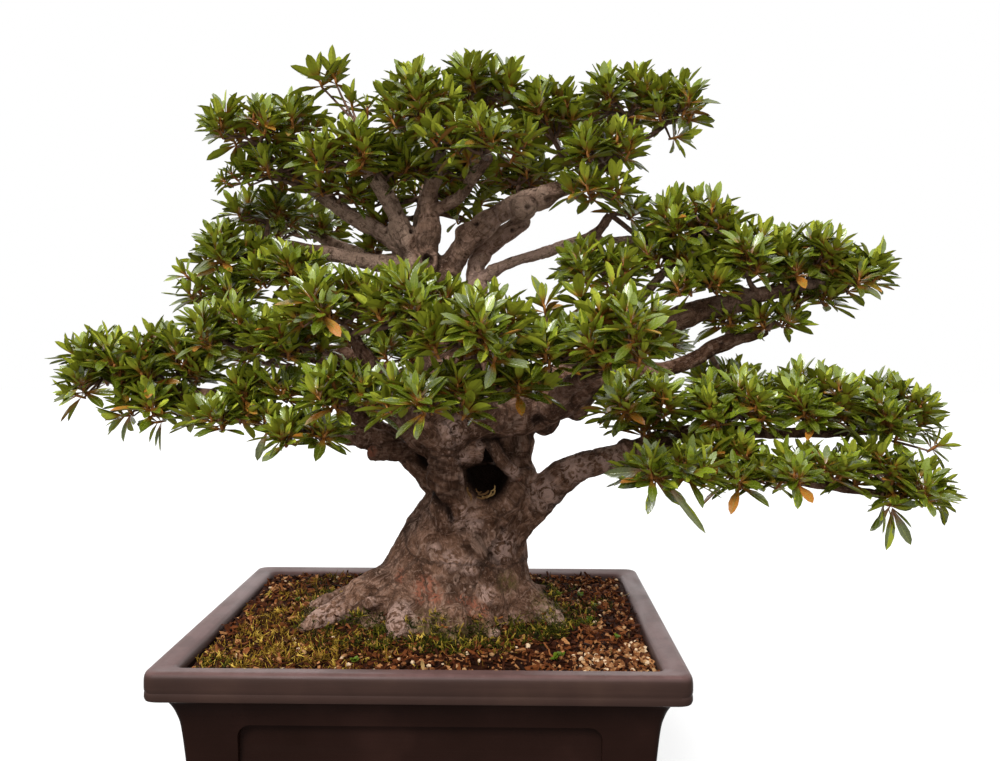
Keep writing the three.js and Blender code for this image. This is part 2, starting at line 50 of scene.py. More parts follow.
# An old satsuki azalea bonsai in a rectangular clay pot. Everything is modelled in millimetres from the
# middle of the pot's foot, and each finished mesh is then moved and scaled into the frame.
potLow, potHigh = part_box("pot")
mm = 0.001
potMiddle = Matrix.Translation(((potLow.x + potHigh.x) / 2, (potLow.y + potHigh.y) / 2, 0))
toFrame = potMiddle @ Matrix.Scale(mm, 4)
pot = {
    "length": (potHigh.x - potLow.x) / mm + 7,  # a little over the frame's plain block
    "depth": (potHigh.y - potLow.y) / mm,
    "corner": 11,
    "shift": -1.3,
    "footHeight": 12,
    "footSunk": 4,  # how far each foot goes up into the body
    "footInset": 34,
    # the two bars of a foot: place from its corner, and size
    "footBars": [(24, 3, 56, 14), (3, 20, 14, 48)],
    "rowSpacing": 2.5,
    "floorTop": 21,
    "drainX": 100,
    "drainRadius": 17,
    "rimFrom": 114.5,
    "cornerPoints": 7,  # on each round corner
    # how far in from the rim's edge, and height: up the outside, over the rim and down the inside
    "outside": [
        (29, 12), (27.6, 30), (26, 50), (22.6, 86), (19.6, 98), (16, 106.5), (12, 112), (8, 114.2),
        (2.4, 115), (0.6, 116), (0, 118.4), (0.1, 121.6), (0.6, 123), (0.1, 124.4), (0, 129), (0.1, 133),
        (0.5, 136), (1.4, 138.2), (3, 139.6), (5.4, 140), (10.6, 139.5), (16, 138.9), (20.2, 137.6),
    ],
    "inside": [(22.6, 134.6), (24, 130), (33, 86), (36, 52), (38, 21)],
    # a thin raised line round a field on each wall; the wall leans outward between two heights
    "panel": {
        "bottom": 26, "top": 88.5, "corner": 13, "line": 1.7, "proud": 0.6, "deep": -0.15, "halfLong": 157,
        "halfShort": 103, "foot": 27.9, "lean": 5.1,
    },
}


# Small helpers

def meshFrom(bm, name):
    mesh = bpy.data.meshes.new(name)
    bm.to_mesh(mesh)
    bm.free()
    return mesh


def worked(mesh, *modifiers):
    # the mesh after some modifiers, each given as its kind and settings
    bench = bpy.data.objects.new("bench", mesh)
    bpy.context.scene.collection.objects.link(bench)
    for kind, settings in modifiers:
        modifier = bench.modifiers.new(kind, kind)
        for key, value in settings.items():
            setattr(modifier, key, value)
    view = bpy.context.evaluated_depsgraph_get()
    result = bpy.data.meshes.new_from_object(bench.evaluated_get(view))
    bpy.data.objects.remove(bench)
    return result


def finishPiece(name, mesh, finishes, nodes=(), sharpAngle=None):
    mesh.transform(toFrame)
    for finish in finishes:
        mesh.materials.append(finish)
    mesh.shade_smooth()
    if sharpAngle:
        mesh.set_sharp_from_angle(angle=math.radians(sharpAngle))
    piece = bpy.data.objects.new(name, mesh)
    bpy.context.scene.collection.objects.link(piece)
    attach(piece, "root")
    if nodes:
        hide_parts(*nodes)
    return piece


def curveThrough(rows, spacing):
    # a smooth run of rows between those given, spaced by their first three numbers
    knots = [Vector(row) for row in rows]
    gaps = [(Vector(b[:3]) - Vector(a[:3])).length for a, b in zip(knots, knots[1:])]
    slopes = [(knots[1] - knots[0]) / gaps[0]]
    for i in range(1, len(knots) - 1):
        slopes.append((knots[i + 1] - knots[i - 1]) / (gaps[i - 1] + gaps[i]))
    slopes.append((knots[-1] - knots[-2]) / gaps[-1])
    made = []
    for i, gap in enumerate(gaps):
        steps = max(1, round(gap / spacing))
        for k in range(steps):
            t = k / steps
            near = knots[i] * (2 * t**3 - 3 * t**2 + 1) + slopes[i] * (gap * (t**3 - 2 * t**2 + t))
            made.append(near + knots[i + 1] * (3 * t**2 - 2 * t**3) + slopes[i + 1] * (gap * (t**3 - t**2)))
    return made + [knots[-1]]


def ringEdges(verts):
    return list({edge for vert in verts for edge in vert.link_edges})


def stepsAlong(path):
    # the path's turning frame at each of its points: place, side, across, along and radius
    made = []
    side = None
    for i, spot in enumerate(path):
        along = (path[min(i + 1, len(path) - 1)].xyz - path[max(i - 1, 0)].xyz).normalized()
        side = along.orthogonal() if side is None else side - along * side.dot(along)
        side.normalize()
        made.append((spot.xyz, side.copy(), along.cross(side), along, spot.w))
    return made


def tubeMesh(path, sides, material=0):
    # a closed tube through points of x, y, z and radius
    bm = bmesh.new()
    before = None
    steps = stepsAlong(path)
    for i, (place, side, across, along, radius) in enumerate(steps):
        turn = Matrix((side, across, along)).transposed().to_4x4()
        atEnd = i in (0, len(steps) - 1)
        made = bmesh.ops.create_circle(
            bm, cap_ends=atEnd, segments=sides, radius=radius, matrix=Matrix.Translation(place) @ turn
        )
        ring = ringEdges(made["verts"])
        if before:
            bmesh.ops.bridge_loops(bm, edges=before + ring)
        before = ring
    bmesh.ops.recalc_face_normals(bm, faces=bm.faces)
    for face in bm.faces:
        face.material_index = material
    return meshFrom(bm, "tube")


def addMesh(bm, mesh, matrix=None):
    # puts a copy of a mesh into a bmesh
    copy = mesh.copy()
    if matrix:
        copy.transform(matrix)
    bm.from_mesh(copy)
    bpy.data.meshes.remove(copy)


def addTube(bm, path, sides, material=0):
    tube = tubeMesh(path, sides, material)
    bm.from_mesh(tube)
    bpy.data.meshes.remove(tube)


# Materials

def newTree(name, **sockets):
    material = bpy.data.materials.new(name)
    material.use_nodes = True
    tree = material.node_tree
    shader = tree.nodes["Principled BSDF"]
    for socket, value in sockets.items():
        shader.inputs[socket.replace("_", " ")].default_value = value
    return material, tree, shader


def join(tree, value, socket):
    if isinstance(value, bpy.types.NodeSocket):
        tree.links.new(value, socket)
    else:
        socket.default_value = value


def addNode(tree, kind, inputs, **settings):
    node = tree.nodes.new(kind)
    for key, value in settings.items():
        setattr(node, key, value)
    for key, value in inputs.items():
        join(tree, value, node.inputs[key])
    return node


def calc(tree, operation, a, b=0.0, clamp=False):
    return addNode(tree, "ShaderNodeMath", {0: a, 1: b}, operation=operation, use_clamp=clamp).outputs[0]


def times(tree, a, b):
    return calc(tree, "MULTIPLY", a, b)


def total(tree, *terms):
    # the sum of values, each times its share
    made = times(tree, *terms[0])
    for value, share in terms[1:]:
        made = calc(tree, "ADD", made, times(tree, value, share))
    return made


def split(tree, vector):
    return addNode(tree, "ShaderNodeSeparateXYZ", {"Vector": vector}).outputs


def between(tree, value, low, high, to=(0.0, 1.0)):
    inputs = {"Value": value, "From Min": low, "From Max": high, "To Min": to[0], "To Max": to[1]}
    return addNode(tree, "ShaderNodeMapRange", inputs, interpolation_type="SMOOTHSTEP").outputs["Result"]


def blend(tree, factor, a, b):
    return addNode(tree, "ShaderNodeMix", {0: factor, 6: a, 7: b}, data_type="RGBA").outputs[2]


def painted(tree, colour, *layers):
    # a colour under layers of others, each with its strength
    for strength, paint in layers:
        colour = blend(tree, strength, colour, (*paint, 1))
    return colour


def grain(tree, vector, scale, detail=4.0, rough=0.55, stretch=None, distortion=0.0):
    if stretch:
        vector = addNode(tree, "ShaderNodeMapping", {"Vector": vector, "Scale": stretch}).outputs["Vector"]
    inputs = {"Vector": vector, "Scale": scale, "Detail": detail}
    inputs.update({"Roughness": rough, "Distortion": distortion})
    return addNode(tree, "ShaderNodeTexNoise", inputs).outputs["Fac"]


def ramp(tree, factor, stops):
    node = addNode(tree, "ShaderNodeValToRGB", {"Fac": factor})
    elements = node.color_ramp.elements
    elements[0].position, elements[0].color = stops[0][0], (*stops[0][1], 1)
    elements[1].position, elements[1].color = stops[-1][0], (*stops[-1][1], 1)
    for position, colour in stops[1:-1]:
        elements.new(position).color = (*colour, 1)
    return node.outputs["Color"]


def bump(tree, shader, height, strength, distance):
    inputs = {"Height": height, "Strength": strength, "Distance": distance}
    join(tree, addNode(tree, "ShaderNodeBump", inputs).outputs["Normal"], shader.inputs["Normal"])


def objectPlace(tree):
    return tree.nodes.new("ShaderNodeTexCoord").outputs["Object"]


def readAttribute(tree, name):
    return addNode(tree, "ShaderNodeAttribute", {}, attribute_name=name, attribute_type="GEOMETRY")


def stonewareFinish(name, sheenReach, gloss, stops, sheenColour):
    # how far a painted sheen, a lighter colour for light from above and its reflection laid in burnish
    # streaks, goes on all faces and further on those that look up
    material, tree, shader = newTree(name, Specular_IOR_Level=gloss)
    place = objectPlace(tree)
    streaks = grain(tree, place, 9, 5, 0.62, stretch=(1.0, 1.0, 26.0), distortion=0.3)
    clouds = grain(tree, place, 14, 3)
    specks = grain(tree, place, 900, 2)
    normal = tree.nodes.new("ShaderNodeNewGeometry").outputs["Normal"]
    upward = between(tree, split(tree, normal)["Z"], 0.15, 0.95)
    clay = ramp(tree, clouds, stops)
    sheenAmount = calc(tree, "ADD", sheenReach[0], times(tree, upward, sheenReach[1]), clamp=True)
    patchy = blend(tree, upward, streaks, grain(tree, place, 45, 3))
    # painted sheen: faces that look up are lightened in the pattern of burnish streaks, standing for light
    # from above
    streakySheen = times(tree, between(tree, patchy, 0.36, 0.64, (0.7, 1.0)), sheenAmount)
    dust = between(tree, specks, 0.62, 0.8, (0, 0.35))
    clay = painted(tree, clay, (streakySheen, sheenColour), (dust, (0.012, 0.006, 0.005)))
    join(tree, clay, shader.inputs["Base Color"])
    join(tree, between(tree, streaks, 0.35, 0.65, (0.5, 0.36)), shader.inputs["Roughness"])
    bump(tree, shader, total(tree, (streaks, 0.6), (specks, 0.14)), 0.35, 0.0012)
    return material


def barkFinish():
    material, tree, shader = newTree("bark", Specular_IOR_Level=0.05)
    place = objectPlace(tree)
    height = split(tree, place)["Z"]
    fibre = readAttribute(tree, "grain").outputs["Vector"]
    patches = split(tree, readAttribute(tree, "patches").outputs["Vector"])
    pit_shade = readAttribute(tree, "pit_shade").outputs["Fac"]
    swell = readAttribute(tree, "swell").outputs["Fac"]

    def share(value, low, high, most, least=0.0):
        return between(tree, value, low, high, (least, most))

    def cells(scale):
        return addNode(tree, "ShaderNodeTexVoronoi", {"Vector": place, "Scale": scale}).outputs["Distance"]

    mottle = grain(tree, place, 44, 4, 0.6, distortion=1.6)
    clouds = grain(tree, place, 17, 2)
    streaks = grain(tree, fibre, 0.16, 2.5, 0.5, stretch=(1.0, 1.0, 0.3), distortion=3.2)
    threads = grain(tree, fibre, 0.42, 2, 0.5, stretch=(1.0, 1.0, 0.16), distortion=2.4)
    bands = grain(tree, fibre, 0.13, 2.5, 0.55, stretch=(0.35, 0.35, 1.4), distortion=2.0)
    fine = grain(tree, place, 520, 3, 0.6)
    swirls = grain(tree, place, 75, 3, 0.55, distortion=2.5)
    flakes = grain(tree, place, 150, 4, distortion=1.4)
    isHigh = share(height, 0.42, 0.5, 1.0)
    hasWarts = share(grain(tree, place, 40, 3), 0.52, 0.62, 1.0)
    warts = times(tree, share(cells(170.0), 0.3, 0.18, 1.0), hasWarts)
    hasKnots = times(tree, share(mottle, 0.5, 0.58, 1.0), share(height, 0.4, 0.44, 1.0))
    knots = times(tree, share(cells(62.0), 0.3, 0.14, 1.0), hasKnots)
    wood = ramp(tree, mottle, [
        (0.35, (0.046, 0.021, 0.011)), (0.46, (0.112, 0.057, 0.034)), (0.56, (0.2, 0.108, 0.07)),
        (0.66, (0.34, 0.205, 0.148)),
    ])
    wood = painted(
        tree, wood,
        (share(clouds, 0.44, 0.6, 0.36), (0.08, 0.04, 0.025)),
        (times(tree, isHigh, share(clouds, 0.44, 0.54, 0.95, 0.25)), (0.42, 0.285, 0.21)),
        # painted shade where the relief is pushed in, in creases and folds
        (share(swell, 0.1, -0.7, 0.85), (0.024, 0.012, 0.007)),
        (share(bands, 0.46, 0.37, 0.6), (0.045, 0.022, 0.013)),
        (share(bands, 0.56, 0.64, 0.4), (0.34, 0.22, 0.165)),
        (share(streaks, 0.45, 0.36, 0.35), (0.042, 0.02, 0.012)),
        (share(streaks, 0.56, 0.66, 0.35), (0.33, 0.205, 0.155)),
        (share(threads, 0.36, 0.31, 0.2), (0.024, 0.012, 0.008)),
        (share(threads, 0.65, 0.7, 0.2), (0.42, 0.28, 0.22)),
        (times(tree, warts, 0.5), (0.4, 0.26, 0.2)),
        (share(fine, 0.52, 0.74, 0.3), (0.045, 0.022, 0.014)),
        (times(tree, knots, 0.8), (0.03, 0.014, 0.009)),
        # the painted patches: pale wood with painted highlights, painted shade, rust and moss, and the
        # painted shade in pits and the hollow
        (times(tree, patches["Z"], share(swirls, 0.43, 0.55, 0.6)), (0.45, 0.3, 0.245)),
        (share(patches["Z"], 0.0, -0.8, 0.62), (0.035, 0.016, 0.009)),
        (times(tree, patches["X"], share(flakes, 0.46, 0.58, 0.8)), (0.25, 0.088, 0.052)),
        (times(tree, patches["Y"], share(flakes, 0.42, 0.6, 0.6)), (0.12, 0.095, 0.028)),
        (pit_shade, (0.011, 0.0055, 0.0035)),
    )
    join(tree, wood, shader.inputs["Base Color"])
    join(tree, share(mottle, 0.3, 0.7, 0.7, 0.9), shader.inputs["Roughness"])
    relief = total(
        tree, (streaks, 0.35), (bands, 0.8), (threads, 0.05), (mottle, 1.1), (swirls, 0.3), (warts, 0.12),
        (knots, -0.4), (fine, 0.1),
    )
    bump(tree, shader, relief, 0.8, 0.005)
    return material


leafTones = {
    "face": [
        (0.0, (0.38, 0.14, 0.02)), (0.05, (0.3, 0.16, 0.02)), (0.1, (0.055, 0.064, 0.003)),
        (0.4, (0.072, 0.1, 0.004)), (0.65, (0.106, 0.146, 0.006)), (0.85, (0.158, 0.212, 0.009)),
        (1.0, (0.23, 0.292, 0.018)),
    ],
    # the backs are paler, as real undersides are, and lighter still: painted light for light shining
    # through the leaves and from below
    "back": [
        (0.0, (0.34, 0.15, 0.04)), (0.1, (0.2, 0.225, 0.016)), (0.6, (0.305, 0.335, 0.026)),
        (1.0, (0.42, 0.46, 0.048)),
    ],
}


def leafFinish(side):
    material, tree, shader = newTree("leaf_" + side, Specular_IOR_Level=0.9 if side == "face" else 0.1)
    place = objectPlace(tree)
    spot = split(tree, readAttribute(tree, "leaf").outputs["Vector"])
    across = calc(tree, "ABSOLUTE", spot["X"])
    along = spot["Y"]
    shade = grain(tree, place, 34, 3)
    mottle = grain(tree, place, 420, 3)
    tone = calc(tree, "ADD", spot["Z"], between(tree, shade, 0.3, 0.7, (-0.09, 0.09)))
    # only a dead leaf goes below the greens
    isOld = calc(tree, "LESS_THAN", spot["Z"], 0.08)
    tone = calc(tree, "MAXIMUM", tone, calc(tree, "SUBTRACT", 0.11, times(tree, isOld, 0.11)))
    rib = between(tree, across, 0.12, 0.02, (0.0, 0.5))
    green = painted(
        tree, ramp(tree, tone, leafTones[side]),
        (between(tree, mottle, 0.45, 0.7, (0, 0.25)), (0.15, 0.17, 0.015)),
        (rib, (0.25, 0.27, 0.06)),
        (between(tree, along, 0.52, 0.08, (0.0, 0.95)), (0.27, 0.1, 0.016)),
    )
    join(tree, green, shader.inputs["Base Color"])
    rough = (0.22, 0.34) if side == "face" else (0.5, 0.62)
    join(tree, between(tree, mottle, 0.3, 0.7, rough), shader.inputs["Roughness"])
    veins = times(tree, calc(tree, "SINE", total(tree, (along, 46), (across, -9))), 0.16)
    bump(tree, shader, total(tree, (veins, across), (rib, -1.6)), 0.5, 0.0005)
    return material


def twigFinish(name, dark, light):
    material, tree, shader = newTree(name, Specular_IOR_Level=0.3, Roughness=0.7)
    place = objectPlace(tree)
    mix = grain(tree, place, 160, 4)
    join(tree, ramp(tree, mix, [(0.35, dark), (0.65, light)]), shader.inputs["Base Color"])
    bump(tree, shader, grain(tree, place, 700, 3), 0.5, 0.0005)
    return material


def chipFinish(name, stops, roughness=0.85, fineScale=900):
    # colour by each chip's own tone
    material, tree, shader = newTree(name, Specular_IOR_Level=0.08, Roughness=roughness)
    place = objectPlace(tree)
    mottle = grain(tree, place, fineScale, 4, 0.6)
    tone = readAttribute(tree, "tone").outputs["Fac"]
    tone = calc(tree, "ADD", tone, between(tree, mottle, 0.3, 0.7, (-0.05, 0.05)))
    dark = between(tree, mottle, 0.5, 0.75, (0, 0.4))
    colour = painted(tree, ramp(tree, tone, stops), (dark, (0.03, 0.015, 0.008)))
    join(tree, colour, shader.inputs["Base Color"])
    bump(tree, shader, mottle, 0.6, 0.0006)
    return material


def netFinish():
    material, tree, shader = newTree("net", Specular_IOR_Level=0.4)
    place = objectPlace(tree)
    dust = grain(tree, place, 300, 4)
    colour = ramp(tree, dust, [(0.4, (0.012, 0.014, 0.013)), (0.7, (0.05, 0.04, 0.03))])
    join(tree, colour, shader.inputs["Base Color"])
    join(tree, between(tree, dust, 0.3, 0.7, (0.45, 0.8)), shader.inputs["Roughness"])
    bump(tree, shader, dust, 0.3, 0.0003)
    return material


finishes = {
    # one stoneware in two copies: the wall's is darker, painted shade under the rim, and the rim's is
    # lighter, painted light
    "clayWallShaded": stonewareFinish("clay_wall_shaded", (0.0, 0.5), 0.05, [
        (0.3, (0.0105, 0.004, 0.0026)), (0.55, (0.0135, 0.0053, 0.0037)), (0.75, (0.0195, 0.008, 0.0058)),
    ], (0.1, 0.055, 0.045)),
    "clayRimLit": stonewareFinish("clay_rim_lit", (0.05, 0.52), 0.15, [
        (0.3, (0.017, 0.0075, 0.0045)), (0.55, (0.025, 0.0115, 0.0075)), (0.75, (0.038, 0.019, 0.012)),
    ], (0.19, 0.107, 0.102)),
    "bark": barkFinish(),
    "leafFace": leafFinish("face"),
    "leafBack": leafFinish("back"),
    "twig": twigFinish("twig", (0.05, 0.024, 0.014), (0.24, 0.135, 0.09)),
    "shoot": twigFinish("young_shoot", (0.2, 0.07, 0.016), (0.4, 0.17, 0.035)),
    "soil": chipFinish("soil", [
        (0.0, (0.005, 0.0016, 0.0006)), (0.3, (0.024, 0.006, 0.002)), (0.55, (0.075, 0.019, 0.005)),
        (0.78, (0.18, 0.056, 0.015)), (1.0, (0.5, 0.25, 0.1)),
    ]),
    "gravel": chipFinish("gravel", [
        (0.0, (0.09, 0.025, 0.007)), (0.4, (0.24, 0.1, 0.035)), (0.75, (0.42, 0.24, 0.11)),
        (1.0, (0.66, 0.49, 0.32)),
    ], 0.7, 500),
    "moss": chipFinish("moss", [
        (0.0, (0.008, 0.01, 0.001)), (0.35, (0.05, 0.055, 0.003)), (0.7, (0.2, 0.155, 0.012)),
        (1.0, (0.46, 0.3, 0.05)),
    ], 0.7),
    "dryMoss": chipFinish("dry_moss", [
        (0.0, (0.06, 0.028, 0.003)), (0.3, (0.24, 0.14, 0.015)), (0.65, (0.44, 0.28, 0.035)),
        (1.0, (0.66, 0.47, 0.1)),
    ], 0.8),
    "weed": chipFinish("weed", [(0.0, (0.03, 0.055, 0.003)), (1.0, (0.13, 0.19, 0.01))], 0.5),
    "deadLeaf": chipFinish("dead_leaf", [
        (0.0, (0.06, 0.028, 0.01)), (0.4, (0.16, 0.085, 0.03)), (0.75, (0.34, 0.22, 0.085)),
        (1.0, (0.6, 0.46, 0.26)),
    ], 0.6, 300),
    "net": netFinish(),
}
print("materials ready:", len(finishes))


# The pot

def roundedRing(bm, halfX, halfY, corner, z, capped=False):
    count = pot["cornerPoints"]
    made = bmesh.ops.create_circle(bm, cap_ends=capped, segments=4 * count, radius=1)["verts"]
    for i, vert in enumerate(made):
        quarter, step = divmod(i, count)
        turn = math.pi / 2 * (quarter + step / (count - 1))
        middleX = (halfX - corner) * (1 if quarter in (0, 3) else -1)
        middleY = (halfY - corner) * (1 if quarter in (0, 1) else -1)
        vert.co = (middleX + corner * math.cos(turn), middleY + corner * math.sin(turn), z)
    return ringEdges(made)


def panelBlock(halfWidth, wallY, grow, front, back):
    # a flat block with round corners, leaning with the wall that faces -Y, from one depth in the wall to
    # another
    panel = pot["panel"]
    arcSteps = 8
    corner = panel["corner"] + grow
    bm = bmesh.new()
    outline = []
    for signX, signZ, start in ((1, 1, 0), (-1, 1, 90), (-1, -1, 180), (1, -1, 270)):
        middleX = signX * (halfWidth - panel["corner"])
        middleZ = panel["top"] - panel["corner"] if signZ > 0 else panel["bottom"] + panel["corner"]
        for k in range(arcSteps + 1):
            turn = math.radians(start + 90 * k / arcSteps)
            x, z = middleX + corner * math.cos(turn), middleZ + corner * math.sin(turn)
            outline.append(bm.verts.new((x, back, z)))
    face = bm.faces.new(outline)
    pushed = bmesh.ops.extrude_face_region(bm, geom=[face])
    moved = [item for item in pushed["geom"] if isinstance(item, bmesh.types.BMVert)]
    bmesh.ops.translate(bm, verts=moved, vec=(0, front - back, 0))
    bmesh.ops.recalc_face_normals(bm, faces=bm.faces)
    spot = Matrix.Translation((0, -wallY + panel["foot"], panel["bottom"]))
    tilt = Matrix.Rotation(-math.radians(panel["lean"]), 4, "X")
    bm.transform(spot @ tilt @ Matrix.Translation((0, 0, -panel["bottom"])))
    return bm


def blockObject(name, bm):
    tool = bpy.data.objects.new(name, meshFrom(bm, name))
    bpy.context.scene.collection.objects.link(tool)
    return tool


def makePot():
    bm = bmesh.new()
    halfX, halfY = pot["length"] / 2, pot["depth"] / 2
    outside = curveThrough([(inset, z, 0) for inset, z in pot["outside"]], pot["rowSpacing"])
    inside = [Vector((inset, z, 0)) for inset, z in pot["inside"]]
    rows = outside + inside
    before = None
    for i, row in enumerate(rows):
        inset, z = row.x, row.y
        corner = max(pot["corner"] - 0.15 * inset, 5)
        ring = roundedRing(bm, halfX - inset, halfY - inset, corner, z, i in (0, len(rows) - 1))
        if before:
            bmesh.ops.bridge_loops(bm, edges=before + ring)
        before = ring
    footTall = pot["footHeight"] + pot["footSunk"]
    for signX, signY in ((-1, -1), (-1, 1), (1, -1), (1, 1)):
        x, y = signX * (halfX - pot["footInset"]), signY * (halfY - pot["footInset"])
        for inX, inY, wide, deep in pot["footBars"]:
            made = bmesh.ops.create_cube(bm, size=1)["verts"]
            bmesh.ops.scale(bm, verts=made, vec=(wide, deep, footTall))
            bmesh.ops.translate(bm, verts=made, vec=(x - signX * inX, y - signY * inY, footTall / 2))
    bmesh.ops.recalc_face_normals(bm, faces=bm.faces)
    body = meshFrom(bm, "pot_body")

    plates = bmesh.new()
    cutters = bmesh.new()
    panel = pot["panel"]
    for halfWidth, wall, turn in (
        (panel["halfLong"], halfY, 0), (panel["halfLong"], halfY, 180),
        (panel["halfShort"], halfX, 90), (panel["halfShort"], halfX, 270),
    ):
        plate = panelBlock(halfWidth, wall, 0, -panel["proud"], 3)
        field = panelBlock(halfWidth, wall, -panel["line"], -30, panel["deep"])
        for bench, block in ((plates, plate), (cutters, field)):
            block.transform(Matrix.Rotation(math.radians(turn), 4, "Z"))
            addMesh(bench, meshFrom(block, "panel_block"))
    for x in (-pot["drainX"], pot["drainX"]):
        bmesh.ops.create_cone(
            cutters, cap_ends=True, segments=40, radius1=pot["drainRadius"], radius2=pot["drainRadius"],
            depth=40, matrix=Matrix.Translation((x, 0, 15)),
        )
    plate = blockObject("panel_plates", plates)
    cutter = blockObject("pot_cutters", cutters)
    mesh = worked(
        body,
        ("BOOLEAN", {"operation": "UNION", "solver": "EXACT", "use_self": True, "object": plate}),
        ("BOOLEAN", {"operation": "DIFFERENCE", "solver": "EXACT", "use_self": True, "object": cutter}),
        ("BEVEL", {"width": 0.5, "segments": 2, "limit_method": "ANGLE", "angle_limit": math.radians(40)}),
    )
    bpy.data.objects.remove(plate)
    bpy.data.objects.remove(cutter)
    mesh.transform(Matrix.Translation((pot["shift"], 0, 0)))
    # faces above the rim's foot take the lit copy of the clay, and the wall below takes the copy with
    # painted shade
    for face in mesh.polygons:
        face.material_index = 1 if face.center.z > pot["rimFrom"] else 0
    clays = [finishes["clayWallShaded"], finishes["clayRimLit"]]
    finishPiece("clay_pot", mesh, clays, ["pot"], sharpAngle=32)


makePot()
print("pot done")

# The nets over the drain holes
net = {"size": 58, "thickness": 1.3, "cells": 14, "strand": 1.1, "lift": 0.45}


def makeNet(node, x):
    bm = bmesh.new()
    bmesh.ops.create_grid(bm, x_segments=net["cells"], y_segments=net["cells"], size=net["size"] / 2)
    cell = net["size"] / net["cells"]
    bmesh.ops.inset_individual(bm, faces=bm.faces[:], thickness=net["strand"] / 2)
    openings = [face for face in bm.faces if face.calc_area() > (cell - net["strand"] * 1.2) ** 2]
    bmesh.ops.delete(bm, geom=openings, context="FACES")
    bmesh.ops.solidify(bm, geom=bm.faces[:], thickness=net["thickness"])
    bmesh.ops.recalc_face_normals(bm, faces=bm.faces)
    low = min(vert.co.z for vert in bm.verts)
    bmesh.ops.translate(bm, verts=bm.verts, vec=(x, 0, pot["floorTop"] + net["lift"] - low))
    finishPiece(node + "_mesh", meshFrom(bm, node), [finishes["net"]], [node], sharpAngle=30)


makeNet("drain_net_left", -pot["drainX"])
makeNet("drain_net_right", pot["drainX"])
print("nets done")

